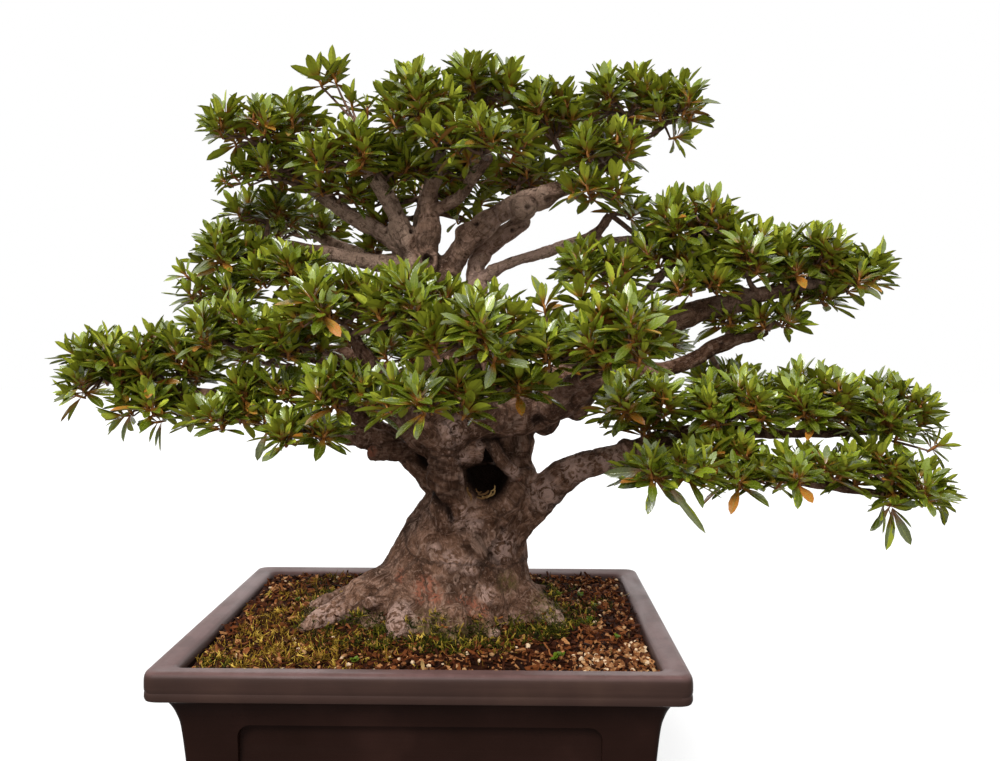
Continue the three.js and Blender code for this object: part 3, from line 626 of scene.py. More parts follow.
# The wood: trunk, surface roots and limbs, grown together
wood = {
    "trunkVoxel": 2.6,
    "voxel": 2.0,
    "triangles": 160000,
    "trunkSides": 64,
    "rootSides": 20,
    "limbSides": 18,
    "cutAt": 118,  # the wood ends below this height, inside the soil
    "forkAt": 260,  # knobs above this height are added after the hollow is cut
    "thick": 34,  # wood of a greater half width is treated as trunk
    "ridgeWidth": 30,
    # height, middle x, middle y, half width, half depth, how far the root ridges stand out
    "sections": [
        (105, 2, 4, 94, 70, 0.05), (128, 3, 3, 101, 77, 0.16), (147, 4, 3, 90, 67, 0.16),
        (168, 14, 3, 79, 57, 0.1),
        (200, 22, 3, 68, 51, 0.06), (234, 32, 2, 60, 49, 0.04), (258, 46, 2, 56, 49, 0.04),
        (288, 54, 6, 46, 42, 0.03),
    ],
    "ridgeAngles": (15, 62, 105, 150, 188, 228, 262, 300, 338),
    "hollow": {"middle": (53, -34, 296), "half": (20, 34, 32), "tilt": 0.3},
    "hollowBack": (52, 14, 318, 27),
    # x, y, z and radius along each surface root, from inside the trunk down into the soil
    "roots": [
        [
            (-44, -10, 178, 18), (-72, -18, 158, 17), (-96, -27, 147, 14.5), (-114, -37, 139, 11),
            (-134, -46, 124, 7),
        ],
        [(-56, 20, 156, 16), (-94, 30, 145, 12), (-122, 24, 138, 8.5), (-131, 18, 134, 8)],
        [(-94, 6, 150, 7), (-112, -4, 151, 7), (-126, -10, 141, 6.5), (-132, -8, 132, 6)],
        [(-20, -38, 160, 12), (-28, -57, 158, 12), (-29, -66, 149, 12), (-30, -68, 126, 11)],
        [
            (-84, -42, 134, 3.5), (-72, -51, 148, 3.4), (-58, -54, 150, 3.2), (-46, -51, 144, 3.2),
            (-42, -44, 132, 3),
        ],
        [(18, -36, 164, 23), (22, -60, 146, 17), (24, -76, 132, 11), (28, -96, 120, 6)],
        [(44, -46, 160, 12), (56, -70, 147, 7.5), (64, -83, 142, 6.5)],
        [
            (74, -6, 172, 17), (99, -17, 156, 14), (114, -28, 146, 12), (124, -37, 134, 9),
            (132, -46, 120, 6),
        ],
        [(92, -4, 160, 8), (112, -10, 156, 5), (126, -16, 147, 3.8), (138, -22, 136, 3)],
        [(-40, -36, 158, 9), (-54, -52, 163, 7.5), (-60, -60, 165, 6)],
        [(30, 40, 174, 27), (40, 72, 148, 19), (50, 102, 132, 10), (64, 138, 120, 4)],
        [(-32, 34, 170, 23), (-58, 64, 146, 15), (-80, 90, 132, 8), (-108, 120, 118, 4)],
        [(80, 34, 156, 19), (108, 58, 137, 12), (134, 80, 126, 7), (160, 104, 118, 4)],
    ],
    # the same along each limb, from inside the wood that carries it
    "limbs": {
        "front_arm": [
            (22, -30, 236, 24), (15, -44, 268, 19), (14, -51, 303, 18), (21, -52, 325, 19),
            (40, -49, 338, 18),
            (94, -36, 346, 20), (120, -40, 358, 18), (142, -58, 374, 12), (156, -84, 386, 9),
        ],
        "left_low": [
            (10, -8, 268, 17), (-22, 0, 295, 13), (-51, 0, 309, 11.5), (-109, -15, 328, 10),
            (-150, -25, 341, 8),
            (-191, -35, 356, 7), (-285, -38, 370, 4),
        ],
        "left_stub": [(-32, -6, 302, 10), (-58, -28, 305, 7.5)],
        "left_upper": [
            (24, 16, 280, 18), (-27, 5, 359, 16), (-66, 0, 383, 15), (-99, -10, 396, 12),
            (-160, -28, 408, 6),
        ],
        "right_low": [
            (60, 2, 204, 23), (79, 0, 239, 26), (104, -2, 257, 21), (134, -12, 285, 15.5),
            (163, -20, 296, 14),
            (190, -25, 303, 12.5),
            (220, -30, 304, 10.5), (300, -40, 290, 8), (351, -45, 283, 6), (430, -56, 270, 4),
        ],
        "right_low_fork": [
            (182, -24, 302, 10), (204, -25, 313, 9), (237, -15, 323, 9), (283, -10, 324, 7),
            (410, -22, 326, 4),
        ],
        "back_stem": [
            (76, 10, 262, 22), (81, 16, 313, 17), (77, 25, 348, 17.5), (49, 30, 415, 16), (40, 40, 466, 11),
            (38, 45, 494, 9.5), (46, 48, 510, 9.5), (68, 47, 526, 9.5), (84, 45, 536, 9),
            (91, 44, 540, 7.5),
        ],
        "inner_strut": [(52, -36, 330, 7), (59, -44, 314, 6.5), (68, -48, 299, 6.5), (84, -38, 282, 6)],
        "inner_stub": [(22, -50, 311, 13), (38, -48, 309, 12), (49, -46, 307, 10)],
        "left_leader": [
            (34, 18, 268, 26), (14, 34, 353, 23), (1, 35, 405, 22), (-7, 31, 446, 20), (-18, 25, 502, 18),
        ],
        "leader_a": [(-20, 24, 492, 13), (-36, 15, 524, 10), (-50, 0, 560, 9), (-78, -20, 592, 5)],
        "leader_b": [
            (-16, 25, 500, 14), (-7, 18, 528, 11.5), (-9, 16, 552, 9), (-3, 8, 576, 8), (6, 0, 604, 5),
        ],
        "leader_c": [
            (-10, 19, 545, 8), (4, 15, 550, 6.5), (24, 8, 560, 6.5), (38, -8, 578, 6), (54, -22, 592, 5),
        ],
        "leader_d": [(-18, 26, 497, 13), (-39, 25, 512, 11), (-86, 30, 541, 9), (-136, 24, 572, 6)],
        "leader_e": [(-12, 30, 488, 13), (-40, 32, 492, 10), (-105, 44, 503, 8), (-185, 48, 518, 5)],
        "right_leader": [
            (-10, 34, 436, 17), (-2, 32, 468, 13), (14, 28, 492, 12.5), (27, 24, 512, 12.5),
            (42, 20, 526, 12),
            (62, 15, 542, 11), (84, 11, 552, 12.5), (106, 8, 556, 11), (122, 5, 565, 9), (152, 2, 577, 6.5),
            (200, 0, 612, 4.5),
        ],
        "leader_burr": [(84, 6, 548, 11), (90, -4, 545, 10)],
        "slender": [
            (42, 36, 475, 8), (61, 30, 489, 6.5), (100, 22, 502, 6), (136, 15, 514, 5.5), (160, 8, 523, 5),
            (174, 2, 540, 4),
        ],
        "slender_fork": [(136, 15, 514, 4.5), (170, 6, 515, 4), (226, -4, 516, 4)],
        "right_mid": [
            (72, 20, 330, 17), (105, 12, 350, 23), (142, 8, 368, 21), (205, 8, 415, 15), (263, 0, 445, 12),
            (297, -6, 453, 10.5), (320, -10, 461, 8), (384, -18, 474, 4.5),
        ],
        "right_mid_low": [
            (170, 14, 392, 8.5), (214, 14, 384, 8.5), (256, 10, 394, 8), (282, 6, 410, 8),
            (330, -2, 426, 6),
        ],
        "right_mid_thin": [(200, 8, 430, 6), (202, 0, 452, 5.5), (220, -6, 476, 5), (236, -9, 494, 4.5)],
        "left_web": [(10, -14, 292, 14), (-18, -22, 324, 15), (-48, -30, 350, 13), (-92, -44, 372, 9)],
        "front_left": [(16, -52, 312, 13), (-8, -80, 334, 10), (-30, -104, 366, 8.5), (-62, -120, 420, 6)],
        "front_mid": [(58, -42, 340, 12), (44, -124, 372, 8), (46, -178, 398, 6)],
        "front_right": [(112, -40, 352, 11), (124, -80, 370, 9), (152, -156, 394, 6.5)],
        "back": [(72, 24, 350, 14), (52, 68, 374, 11), (20, 110, 394, 9), (-6, 142, 408, 7)],
        "back_left_low": [(-14, 4, 292, 12), (-70, 38, 326, 10), (-178, 106, 384, 6)],
        "back_right": [(110, 20, 376, 11), (158, 64, 388, 9), (222, 130, 402, 6)],
        "back_right_low": [(163, -20, 302, 9), (214, 24, 306, 8), (324, 98, 330, 5.5)],
        "back_left": [(-60, 36, 496, 8), (-92, 76, 508, 7), (-148, 132, 534, 5)],
        "back_crown": [(-16, 27, 508, 11), (-18, 54, 548, 9), (-8, 98, 628, 5.5)],
        "back_crown_right": [(78, 36, 546, 8), (98, 58, 576, 7), (136, 84, 624, 5)],
    },
    # knobs left by old prunings: x, y, z, radius
    "knobs": [
        (88, 0, 546, 12), (85, 44, 539, 11), (-57, -27, 305, 9), (-6, 14, 470, 10), (30, 20, 522, 13),
        (44, 46, 502, 10), (-8, 14, 530, 12), (-40, 18, 528, 11), (40, 24, 466, 12), (188, -28, 312, 9),
        (236, -32, 306, 10), (300, -8, 458, 11),
        (-66, -33, 150, 12), (108, -4, 334, 15), (142, 4, 347, 13), (152, 2, 372, 16),
        (4, 28, 420, 18), (60, 22, 400, 15), (-34, -2, 352, 13),
    ],
    # holes and creases: x, y, z, radius, depth
    "holes": [
        (-9, 10, 496, 6.5, 11), (-6, 10, 458, 3.5, 4), (50, 30, 486, 4, 4), (112, -4, 552, 4, 3),
        (138, -28, 305, 3, -2), (52, 12, 436, 4, 4),
        (70, 6, 420, 4, 3), (84, -52, 208, 6, 4), (64, 32, 516, 3.5, 3.5), (76, 34, 528, 4, 4),
        (92, -14, 546, 5, 4),
        (-26, 10, 524, 4, 4), (-2, 6, 540, 3.5, 3), (-30, 12, 514, 3.5, 4), (40, 8, 532, 3.5, 4),
        (100, -50, 340, 8, 5),
    ],
    # long creases: the points that each runs through, with their radius, and its depth
    "creases": [
        ([
            (-13, -14, 306, 7), (-11, -24, 292, 7), (-5, -40, 280, 7), (5, -54, 267, 5.5),
            (14, -58, 256, 4),
        ], 8.5),
        ([(14, -59, 262, 3), (18, -60, 253, 3.6), (20, -59, 245, 3.2), (21, -57, 237, 2.6)], 5.5),
        ([(46, -60, 240, 3.5), (56, -64, 222, 4), (66, -66, 204, 4), (76, -60, 186, 3)], 3.2),
        ([(-2, -52, 250, 3.5), (-14, -58, 222, 4), (-22, -62, 196, 4.5), (-24, -64, 176, 4)], 3.2),
        ([(24, -66, 226, 3), (20, -68, 208, 4), (28, -72, 192, 3)], 2.6),
        ([(-34, -40, 232, 3), (-46, -46, 204, 3.5), (-58, -48, 180, 3)], 2.4),
        ([(88, -40, 240, 3), (90, -44, 214, 3.5), (96, -42, 186, 3.5)], 2.6),
        ([(34, -62, 268, 4), (38, -62, 250, 5), (46, -62, 236, 4)], 3),
        ([
            (40, -50, 238, 3), (46, -48, 224, 3.2), (54, -46, 212, 3.2), (66, -40, 200, 3),
            (78, -33, 191, 2.5),
        ], 4.5),
        ([(-20, -34, 240, 3), (-17, -39, 220, 3.4), (-13, -46, 198, 3.2), (-8, -54, 180, 3)], 4.5),
        ([(66, -40, 236, 2.6), (76, -36, 220, 3), (84, -30, 204, 2.6)], 3.6),
    ],
    "scars": 420,  # small leaf and twig scars strewn along the limbs
    # painted patches, among them painted highlights and painted shade: x, y, z, radius
    "rust": [
        (-7, -54, 178, 13), (4, -54, 172, 9), (30, -57, 170, 6), (40, -58, 166, 7), (45, -63, 158, 11),
        (18, -60, 166, 5),
        (-42, -38, 196, 9), (-34, -42, 188, 8), (-60, -32, 306, 6), (88, -40, 276, 8),
    ],
    "moss": [
        (118, -24, 152, 22), (112, -40, 146, 20), (40, -80, 142, 20), (-58, -50, 136, 20),
        (2, -72, 142, 22), (20, -80, 146, 14),
        (78, -40, 180, 14),
    ],
    # pale wood, and painted highlights on the front arm's right edge and on the trunk's right side
    "pale": [
        (28, -58, 248, 12), (41, -52, 240, 10), (2, -46, 214, 7), (20, -48, 205, 10), (37, -47, 198, 8),
        (72, -38, 214, 17),
        (31, -62, 302, 8), (33, -54, 284, 7), (53, -50, 172, 9), (-104, -30, 144, 24), (-28, -70, 156, 19),
        (-59, -61, 166, 9), (-128, 8, 142, 18), (64, -84, 142, 9), (20, -66, 330, 14), (90, 30, 520, 44),
        (54, 24, 480, 30), (60, -38, 312, 9), (76, -46, 290, 9), (46, -50, 312, 10), (118, -36, 146, 16),
        (108, -14, 266, 20), (140, -24, 290, 17), (172, -34, 302, 17),
    ],
    # painted shade, taken off the pale: on the front arm under the canopy, beside it and at the foot
    "shade": [
        (6, -50, 294, 20), (-6, -44, 308, 16), (18, -58, 274, 12), (-20, -22, 300, 12), (14, -62, 262, 9),
        (46, -60, 172, 7), (8, -58, 188, 8), (-12, -58, 162, 7), (110, 2, 352, 12),
    ],
    # where the front arm is wrinkled
    "folded": [(8, -54, 306, 18), (12, -56, 286, 17), (20, -58, 268, 12)],
    # lit parts in the hollow
    "bare": [(55, -40, 324, 7), (60, -46, 312, 7), (67, -52, 300, 7), (76, -50, 291, 7), (46, -50, 312, 9)],
}


def knottyPath(rows, spacing=5.0):
    # a limb's path with small bends, and with swellings where it once carried twigs
    made = []
    for spot in curveThrough(rows, spacing):
        near = spot.xyz
        bend = noise.noise_vector(near * 0.028) * min(spot.w, 12) * 0.24
        swell = 1 + 0.16 * noise.noise(near * 0.05) + 0.12 * noise.noise(near * 0.11)
        made.append(Vector((*(near + bend), spot.w * swell)))
    return made


def makeTrunkBody(bm):
    before = None
    rows = curveThrough(wood["sections"], 6)
    for i, (z, x, y, halfWidth, halfDepth, ridge) in enumerate(rows):
        atEnd = i in (0, len(rows) - 1)
        made = bmesh.ops.create_circle(bm, cap_ends=atEnd, segments=wood["trunkSides"], radius=1)["verts"]
        for vert in made:
            turn = math.atan2(vert.co.y, vert.co.x)
            offs = [math.cos(turn - math.radians(angle)) - 1 for angle in wood["ridgeAngles"]]
            swell = sum(math.exp(off * wood["ridgeWidth"]) for off in offs)
            reach = 1 + 1.3 * ridge * (swell - 0.45)
            vert.co = (x + halfWidth * reach * math.cos(turn), y + halfDepth * reach * math.sin(turn), z)
        ring = ringEdges(made)
        if before:
            bmesh.ops.bridge_loops(bm, edges=before + ring)
        before = ring
    bmesh.ops.recalc_face_normals(bm, faces=bm.faces)


def remeshed(mesh, voxel):
    return worked(mesh, ("REMESH", {"mode": "VOXEL", "voxel_size": voxel, "use_smooth_shade": True}))


def addKnobs(bm, low, high):
    for x, y, z, radius in wood["knobs"]:
        if low <= z < high:
            spot = Matrix.Translation((x, y, z))
            bmesh.ops.create_icosphere(bm, subdivisions=3, radius=radius, matrix=spot)


def fibreSteps():
    # frames along the trunk, roots and limbs, each with its length so far, for the run of the bark's fibres
    made = []
    for z, x, y, halfWidth, halfDepth, _ in curveThrough(wood["sections"], 8):
        made.append((Vector((x, y, z)), Vector((1, 0, 0)), Vector((0, 1, 0)), halfWidth, halfDepth, z))
    for k, rows in enumerate(wood["roots"] + list(wood["limbs"].values())):
        length = 400 * (k + 1)
        last = None
        for place, side, across, along, radius in stepsAlong(knottyPath(rows)):
            length += (place - last).length if last else 0
            last = place
            made.append((place, side, across, radius, radius, length))
    return made


def paintStrength(place, spots):
    strength = 0
    for x, y, z, radius in spots:
        away = (place - Vector((x, y, z))).length / radius
        strength = max(strength, 1.25 - away)
    return max(0.0, min(1.0, strength * 1.6))


def strewScars(steps, draw):
    # small marks on the limbs, as x, y, z, radius and depth
    made = []
    limbSteps = [step for step in steps if step[0].z > 240 and step[3] < 32]
    for _ in range(wood["scars"]):
        place, side, across, radius, _, _ = draw.choice(limbSteps)
        turn = draw.uniform(0, 2 * math.pi)
        spot = place + (side * math.cos(turn) + across * math.sin(turn)) * radius
        size = draw.uniform(1.6, 3.4)
        made.append((*spot, size, draw.choice((-0.7, 0.8, 1.2)) * draw.uniform(0.6, 1.3)))
    return made


def creaseMarks():
    # each crease as a run of small marks without lips
    made = []
    for rows, depth in wood["creases"]:
        run = curveThrough(rows, 2)
        for i, spot in enumerate(run):
            ease = math.sin(math.pi * (i + 0.5) / len(run)) ** 0.5
            made.append((*spot, 0.42 * depth * ease, 0))
    return made


def carve(bm, marks):
    # pushes the wood in at holes and out at their lips, and paints shade into the holes
    pitShadeLayer = bm.verts.layers.float.new("pit_shade")
    bm.verts.ensure_lookup_table()
    tree = KDTree(len(bm.verts))
    for i, vert in enumerate(bm.verts):
        tree.insert(vert.co, i)
    tree.balance()
    pushes = [0.0] * len(bm.verts)
    for x, y, z, radius, depth, *lip in marks:
        lipShare = lip[0] if lip else 0.35
        for _, i, away in tree.find_range((x, y, z), radius * 2.2):
            near = away / radius
            inner = math.exp(-1.8 * near**2)
            pushes[i] += lipShare * abs(depth) * math.exp(-4 * (near - 1.3) ** 2) - depth * inner
            if depth > 0:
                bm.verts[i][pitShadeLayer] = min(1, bm.verts[i][pitShadeLayer] + inner * min(1, 0.3 + depth / 7))
    return pushes


def roughen(bm, steps, pushes):
    # the bark's relief, its fibre coordinates, its painted patches with their painted highlights and
    # painted shade, and the painted shade inside the hollow
    tree = KDTree(len(steps))
    for i, step in enumerate(steps):
        tree.insert(step[0], i)
    tree.balance()
    fibreLayer = bm.verts.layers.float_vector.new("grain")
    patchLayer = bm.verts.layers.float_vector.new("patches")
    swellLayer = bm.verts.layers.float.new("swell")
    pitShadeLayer = bm.verts.layers.float["pit_shade"]
    hollow = wood["hollow"]
    middleOfHollow = Vector(hollow["middle"])
    moved = []
    for i, vert in enumerate(bm.verts):
        place = vert.co
        best = min(
            (steps[k] + ((place - steps[k][0]).length,) for _, k, _ in tree.find_n(place, 4)),
            key=lambda step: step[6] - step[3],
        )
        middle, side, across, halfWide, halfDeep, length, _ = best
        reach = place - middle
        wide = 12 + 0.5 * halfWide
        fibre = Vector((reach.dot(side) / halfWide * wide, reach.dot(across) / halfDeep * wide, length))
        if halfWide > wood["thick"]:
            toRight = max(0.0, min(1.0, (place.x + 24) / 40))
            lean = (0.5 - 1.15 * toRight) * (place.z - 190)
            fibre = Vector((fibre.x - lean, fibre.y, place.z + 0.25 * place.x))
        vert[fibreLayer] = fibre
        # rust, moss, and pale wood with painted highlights less the painted shade
        vert[patchLayer] = (
            paintStrength(place, wood["rust"]), paintStrength(place, wood["moss"]),
            paintStrength(place, wood["pale"]) - paintStrength(place, wood["shade"]),
        )
        # painted shade inside the hollow, none outside its mouth and none on its lit parts
        inside = place - middleOfHollow
        inside = Vector([inside[k] / hollow["half"][k] for k in range(3)]).length
        shut = max(0.0, min(1.0, (place.y + 56) / 8))  # nothing outside the hollow's mouth is darkened
        bare = 1 - paintStrength(place, wood["bare"])
        vert[pitShadeLayer] = max(vert[pitShadeLayer], max(0.0, min(1.0, (1.3 - inside) * 4)) * shut) * bare
        heft = min(1, halfWide / 26)
        swell = heft * (2.6 * noise.noise(place * 0.03) + 1.5 * noise.noise(place * 0.07))
        swell += min(heft, 0.5) * 1.7 * noise.noise(place * 0.13)
        if halfWide > wood["thick"]:
            fold = Vector((fibre.x * 0.1, fibre.y * 0.1, fibre.z * 0.018))
            swell += 2.6 * (0.22 - abs(noise.noise(fold)))
            groove = Vector((fibre.x * 0.075, fibre.y * 0.075, fibre.z * 0.013 + 7))
            swell -= 1.5 * math.exp(-((noise.noise(groove) / 0.05) ** 2))
        else:
            phase = length * 1.05 + 3.2 * noise.noise(place * 0.06)
            wrinkle = math.sin(phase) * (0.5 + noise.noise(place * 0.04))
            swell += 0.42 * wrinkle * min(1, halfWide / 13)
        folds = math.sin(0.8 * place.z + 0.25 * place.x + 2 * noise.noise(place * 0.05))
        swell += 1.2 * paintStrength(place, wood["folded"]) * folds
        swell += 0.35 * noise.noise(fibre * 0.22) + 0.25 * noise.noise(place * 0.4)
        vert[swellLayer] = max(-1, min(1, (swell + pushes[i]) / 2.5))
        moved.append(place + vert.normal * (swell + pushes[i]))
    for vert, place in zip(bm.verts, moved):
        vert.co = place


def makeWood():
    base = bmesh.new()
    makeTrunkBody(base)
    for rows in wood["roots"]:
        addTube(base, knottyPath(rows), wood["rootSides"])
    addKnobs(base, 0, wood["forkAt"])
    hollow = wood["hollow"]
    cutterShape = bmesh.new()
    bmesh.ops.create_icosphere(cutterShape, subdivisions=4, radius=1)
    tilted = Matrix.Rotation(hollow["tilt"], 4, "X") @ Matrix.Diagonal((*hollow["half"], 1))
    cutterShape.transform(Matrix.Translation(hollow["middle"]) @ tilted)
    cutter = bpy.data.objects.new("hollow", meshFrom(cutterShape, "hollow"))
    bpy.context.scene.collection.objects.link(cutter)
    trunk = remeshed(meshFrom(base, "trunk"), wood["trunkVoxel"])
    trunk = worked(trunk, ("BOOLEAN", {"operation": "DIFFERENCE", "solver": "MANIFOLD", "object": cutter}))
    bpy.data.objects.remove(cutter)
    whole = bmesh.new()
    whole.from_mesh(trunk)
    for rows in wood["limbs"].values():
        addTube(whole, knottyPath(rows), wood["limbSides"])
    addKnobs(whole, wood["forkAt"], math.inf)
    x, y, z, radius = wood["hollowBack"]
    bmesh.ops.create_icosphere(whole, subdivisions=3, radius=radius, matrix=Matrix.Translation((x, y, z)))
    mesh = remeshed(meshFrom(whole, "wood"), wood["voxel"])

    bm = bmesh.new()
    bm.from_mesh(mesh)
    everything = bm.verts[:] + bm.edges[:] + bm.faces[:]
    below = bmesh.ops.bisect_plane(
        bm, geom=everything, plane_co=(0, 0, wood["cutAt"]), plane_no=(0, 0, -1), clear_outer=True
    )
    rims = [item for item in below["geom_cut"] if isinstance(item, bmesh.types.BMEdge)]
    bmesh.ops.holes_fill(bm, edges=rims, sides=0)
    everyAxis = {"use_axis_x": True, "use_axis_y": True, "use_axis_z": True}
    for _ in range(3):
        bmesh.ops.smooth_vert(bm, verts=bm.verts, factor=0.5, **everyAxis)
    bm.normal_update()
    steps = fibreSteps()
    draw = random.Random(31)
    roughen(bm, steps, carve(bm, wood["holes"] + creaseMarks() + strewScars(steps, draw)))
    bmesh.ops.recalc_face_normals(bm, faces=bm.faces)
    fine = meshFrom(bm, "wood")
    triangles = sum(len(face.vertices) - 2 for face in fine.polygons)
    share = min(1, wood["triangles"] / triangles)
    return worked(fine, ("DECIMATE", {"decimate_type": "COLLAPSE", "ratio": share}))


woodMesh = makeWood()
woodPoints = [vert.co.copy() for vert in woodMesh.vertices]
woodTree = BVHTree.FromPolygons(woodPoints, [tuple(face.vertices) for face in woodMesh.polygons])
print("wood done:", len(woodMesh.polygons), "faces")

# The soil: a closed bed, with loose grains, chips, gravel and moss on it
soil = {
    "edgeTop": 129,
    "gap": 0.7,
    "cells": (80, 60),
    "chips": 2400,
    "strips": 1500,
    "clinging": 150,  # strips on the foot of the trunk
    "grains": 1800,
    # middle x, middle y, radius, how many pebbles
    "gravel": [
        (168, -118, 38, 230), (200, -84, 24, 110), (130, -136, 44, 90), (60, -134, 60, 70),
        (150, 90, 70, 60),
        (-60, -140, 100, 90), (-140, 60, 70, 50), (170, 0, 50, 60),
    ],
    # middle x, middle y, radius, how many tufts
    "moss": [
        (-88, -74, 26, 60), (-48, -76, 24, 80), (0, -84, 20, 100), (30, -92, 16, 60), (60, -90, 20, 50),
        (92, -64, 20, 80), (116, -50, 18, 80), (140, -16, 24, 60), (160, 30, 26, 40), (-130, 90, 40, 24),
        (0, 110, 60, 50), (110, 100, 40, 40), (-176, -128, 22, 30),
    ],
    "dryMoss": [
        (-168, -96, 44, 170), (-124, -130, 40, 120), (-150, -40, 40, 130), (-110, -90, 34, 110),
        (-160, 30, 44, 90),
        (-120, 80, 60, 80), (-60, -110, 34, 60), (20, -90, 60, 40),
    ],
    "bankHeight": 9,
    "bankMoss": 560,  # tufts that creep up the foot of the trunk
    "litter": 34,  # fallen leaves
    "weeds": [
        (117, -110), (121, -106), (155, -20), (150, -26), (162, 34), (150, 60), (-150, 40), (-60, -122),
        (128, 52), (176, -60),
    ],
    # dead leaves caught in the hollow: place, lean to the side, tilt back, size, and how much each curves
    "inHollow": [
        ((50, -47, 268), -0.3, 1.1, 1.7, 0.1), ((54, -49, 266), -0.5, 1.0, 1.6, 0.15),
        ((59, -46, 268), -0.8, 1.2, 1.4, 0.12),
        ((49, -52, 265), -0.15, 0.8, 1.6, 0.08), ((44, -46, 270), 0.5, 1.3, 1.0, 0.2),
        ((60, -46, 273), -1.0, 1.4, 1.0, 0.15),
        ((35, -52, 271), 1.25, 1.4, 1.5, 0.05), ((38, -53, 268), -1.9, 1.4, 1.3, 0.08),
    ],
}


def innerHalf(z):
    # half length and half depth of the pot's inside at a height
    rows = pot["inside"]
    upper, lower = next(((a, b) for a, b in zip(rows, rows[1:]) if b[1] <= z), (rows[0], rows[1]))
    share = (upper[1] - z) / (upper[1] - lower[1])
    inset = upper[0] + (lower[0] - upper[0]) * share
    return pot["length"] / 2 - inset, pot["depth"] / 2 - inset


def soilHeight(x, y):
    near = math.exp(-((x / 125) ** 2) - (y / 92) ** 2)
    ripple = 1.1 * math.sin(x / 13 + 1.3) * math.cos(y / 11) + 0.8 * math.sin(x / 29 - y / 17)
    backRise = 8.5 * max(0.0, y / pot["depth"] + 0.5) ** 1.3
    return soil["edgeTop"] + backRise + 17 * near + ripple


def insideCorner(x, y, halfX, halfY, corner):
    # pulls a point of the square grid inside the round corner
    overX, overY = abs(x) - (halfX - corner), abs(y) - (halfY - corner)
    away = math.hypot(overX, overY)
    if overX <= 0 or overY <= 0 or away <= corner:
        return x, y
    return (
        math.copysign(halfX - corner + overX * corner / away, x),
        math.copysign(halfY - corner + overY * corner / away, y),
    )


def makeSoilBed():
    bm = bmesh.new()
    halfX, halfY = innerHalf(soil["edgeTop"] + 3)
    halfX, halfY = halfX - soil["gap"] - 1.5, halfY - soil["gap"] - 1.5
    cellsX, cellsY = soil["cells"]
    bmesh.ops.create_grid(bm, x_segments=cellsX, y_segments=cellsY, size=1)
    tone = bm.verts.layers.float.new("tone")
    for vert in bm.verts:
        x, y = insideCorner(vert.co.x * halfX, vert.co.y * halfY, halfX, halfY, 7)
        rough = 1.1 * noise.noise(Vector((x, y, 0)) * 0.22) + 0.6 * noise.noise(Vector((x, y, 5)) * 0.5)
        vert.co = (x, y, soilHeight(x, y) - 1.2 + rough)
        vert[tone] = 0.25 + 0.25 * noise.noise(Vector((x, y, 9)) * 0.1)
    rim = [edge for edge in bm.edges if edge.is_boundary]
    for z in (86, pot["floorTop"] + 0.4):
        made = bmesh.ops.extrude_edge_only(bm, edges=rim)["geom"]
        lowered = [item for item in made if isinstance(item, bmesh.types.BMVert)]
        rim = [item for item in made if isinstance(item, bmesh.types.BMEdge) and item.is_boundary]
        lowX, lowY = innerHalf(z)
        for vert in lowered:
            x = vert.co.x * (lowX - soil["gap"]) / halfX
            y = vert.co.y * (lowY - soil["gap"]) / halfY
            vert.co = (x, y, z)
        halfX, halfY = lowX - soil["gap"], lowY - soil["gap"]
    bmesh.ops.holes_fill(bm, edges=rim, sides=0)
    bmesh.ops.recalc_face_normals(bm, faces=bm.faces)
    finishPiece("soil_bed", meshFrom(bm, "soil_bed"), [finishes["soil"]], ["soil"], sharpAngle=60)


def toned(bm, tone):
    layer = bm.verts.layers.float.new("tone")
    for vert in bm.verts:
        vert[layer] = tone
    return meshFrom(bm, "grain")


def grainShape(draw, tone):
    bm = bmesh.new()
    bmesh.ops.create_icosphere(bm, subdivisions=1, radius=1)
    for vert in bm.verts:
        vert.co *= draw.uniform(0.78, 1.15)
    size = (draw.uniform(0.8, 1.25), draw.uniform(0.7, 1), draw.uniform(0.55, 0.85))
    bmesh.ops.scale(bm, verts=bm.verts, vec=size)
    return toned(bm, tone)


def chipShape(draw, tone):
    bm = bmesh.new()
    bmesh.ops.create_cube(bm, size=2)
    for vert in bm.verts:
        taper = 1 - 0.35 * draw.random()
        skew = 0.3 * vert.co.x * draw.uniform(-1, 1)
        vert.co = (vert.co.x * taper, vert.co.y * taper + skew, vert.co.z * taper)
    size = (draw.uniform(1.2, 2.6), draw.uniform(0.5, 1), draw.uniform(0.25, 0.5))
    bmesh.ops.scale(bm, verts=bm.verts, vec=size)
    return toned(bm, tone)


def stripShape(draw, tone, sweep=None, width=0.5):
    # a curved shred of bark or a dead leaf's edge
    bm = bmesh.new()
    bmesh.ops.create_cube(bm, size=2)
    bmesh.ops.scale(bm, verts=bm.verts, vec=(3.2, width, 0.16))
    long = [edge for edge in bm.edges if abs(edge.verts[0].co.x - edge.verts[1].co.x) > 1]
    bmesh.ops.subdivide_edges(bm, edges=long, cuts=2, use_grid_fill=True)
    curl, drawn = draw.uniform(0.03, 0.14), draw.uniform(-0.18, 0.18)
    sweep = drawn if sweep is None else sweep
    for vert in bm.verts:
        vert.co.z += curl * vert.co.x**2
        vert.co.y += sweep * vert.co.x**2
    return toned(bm, tone)


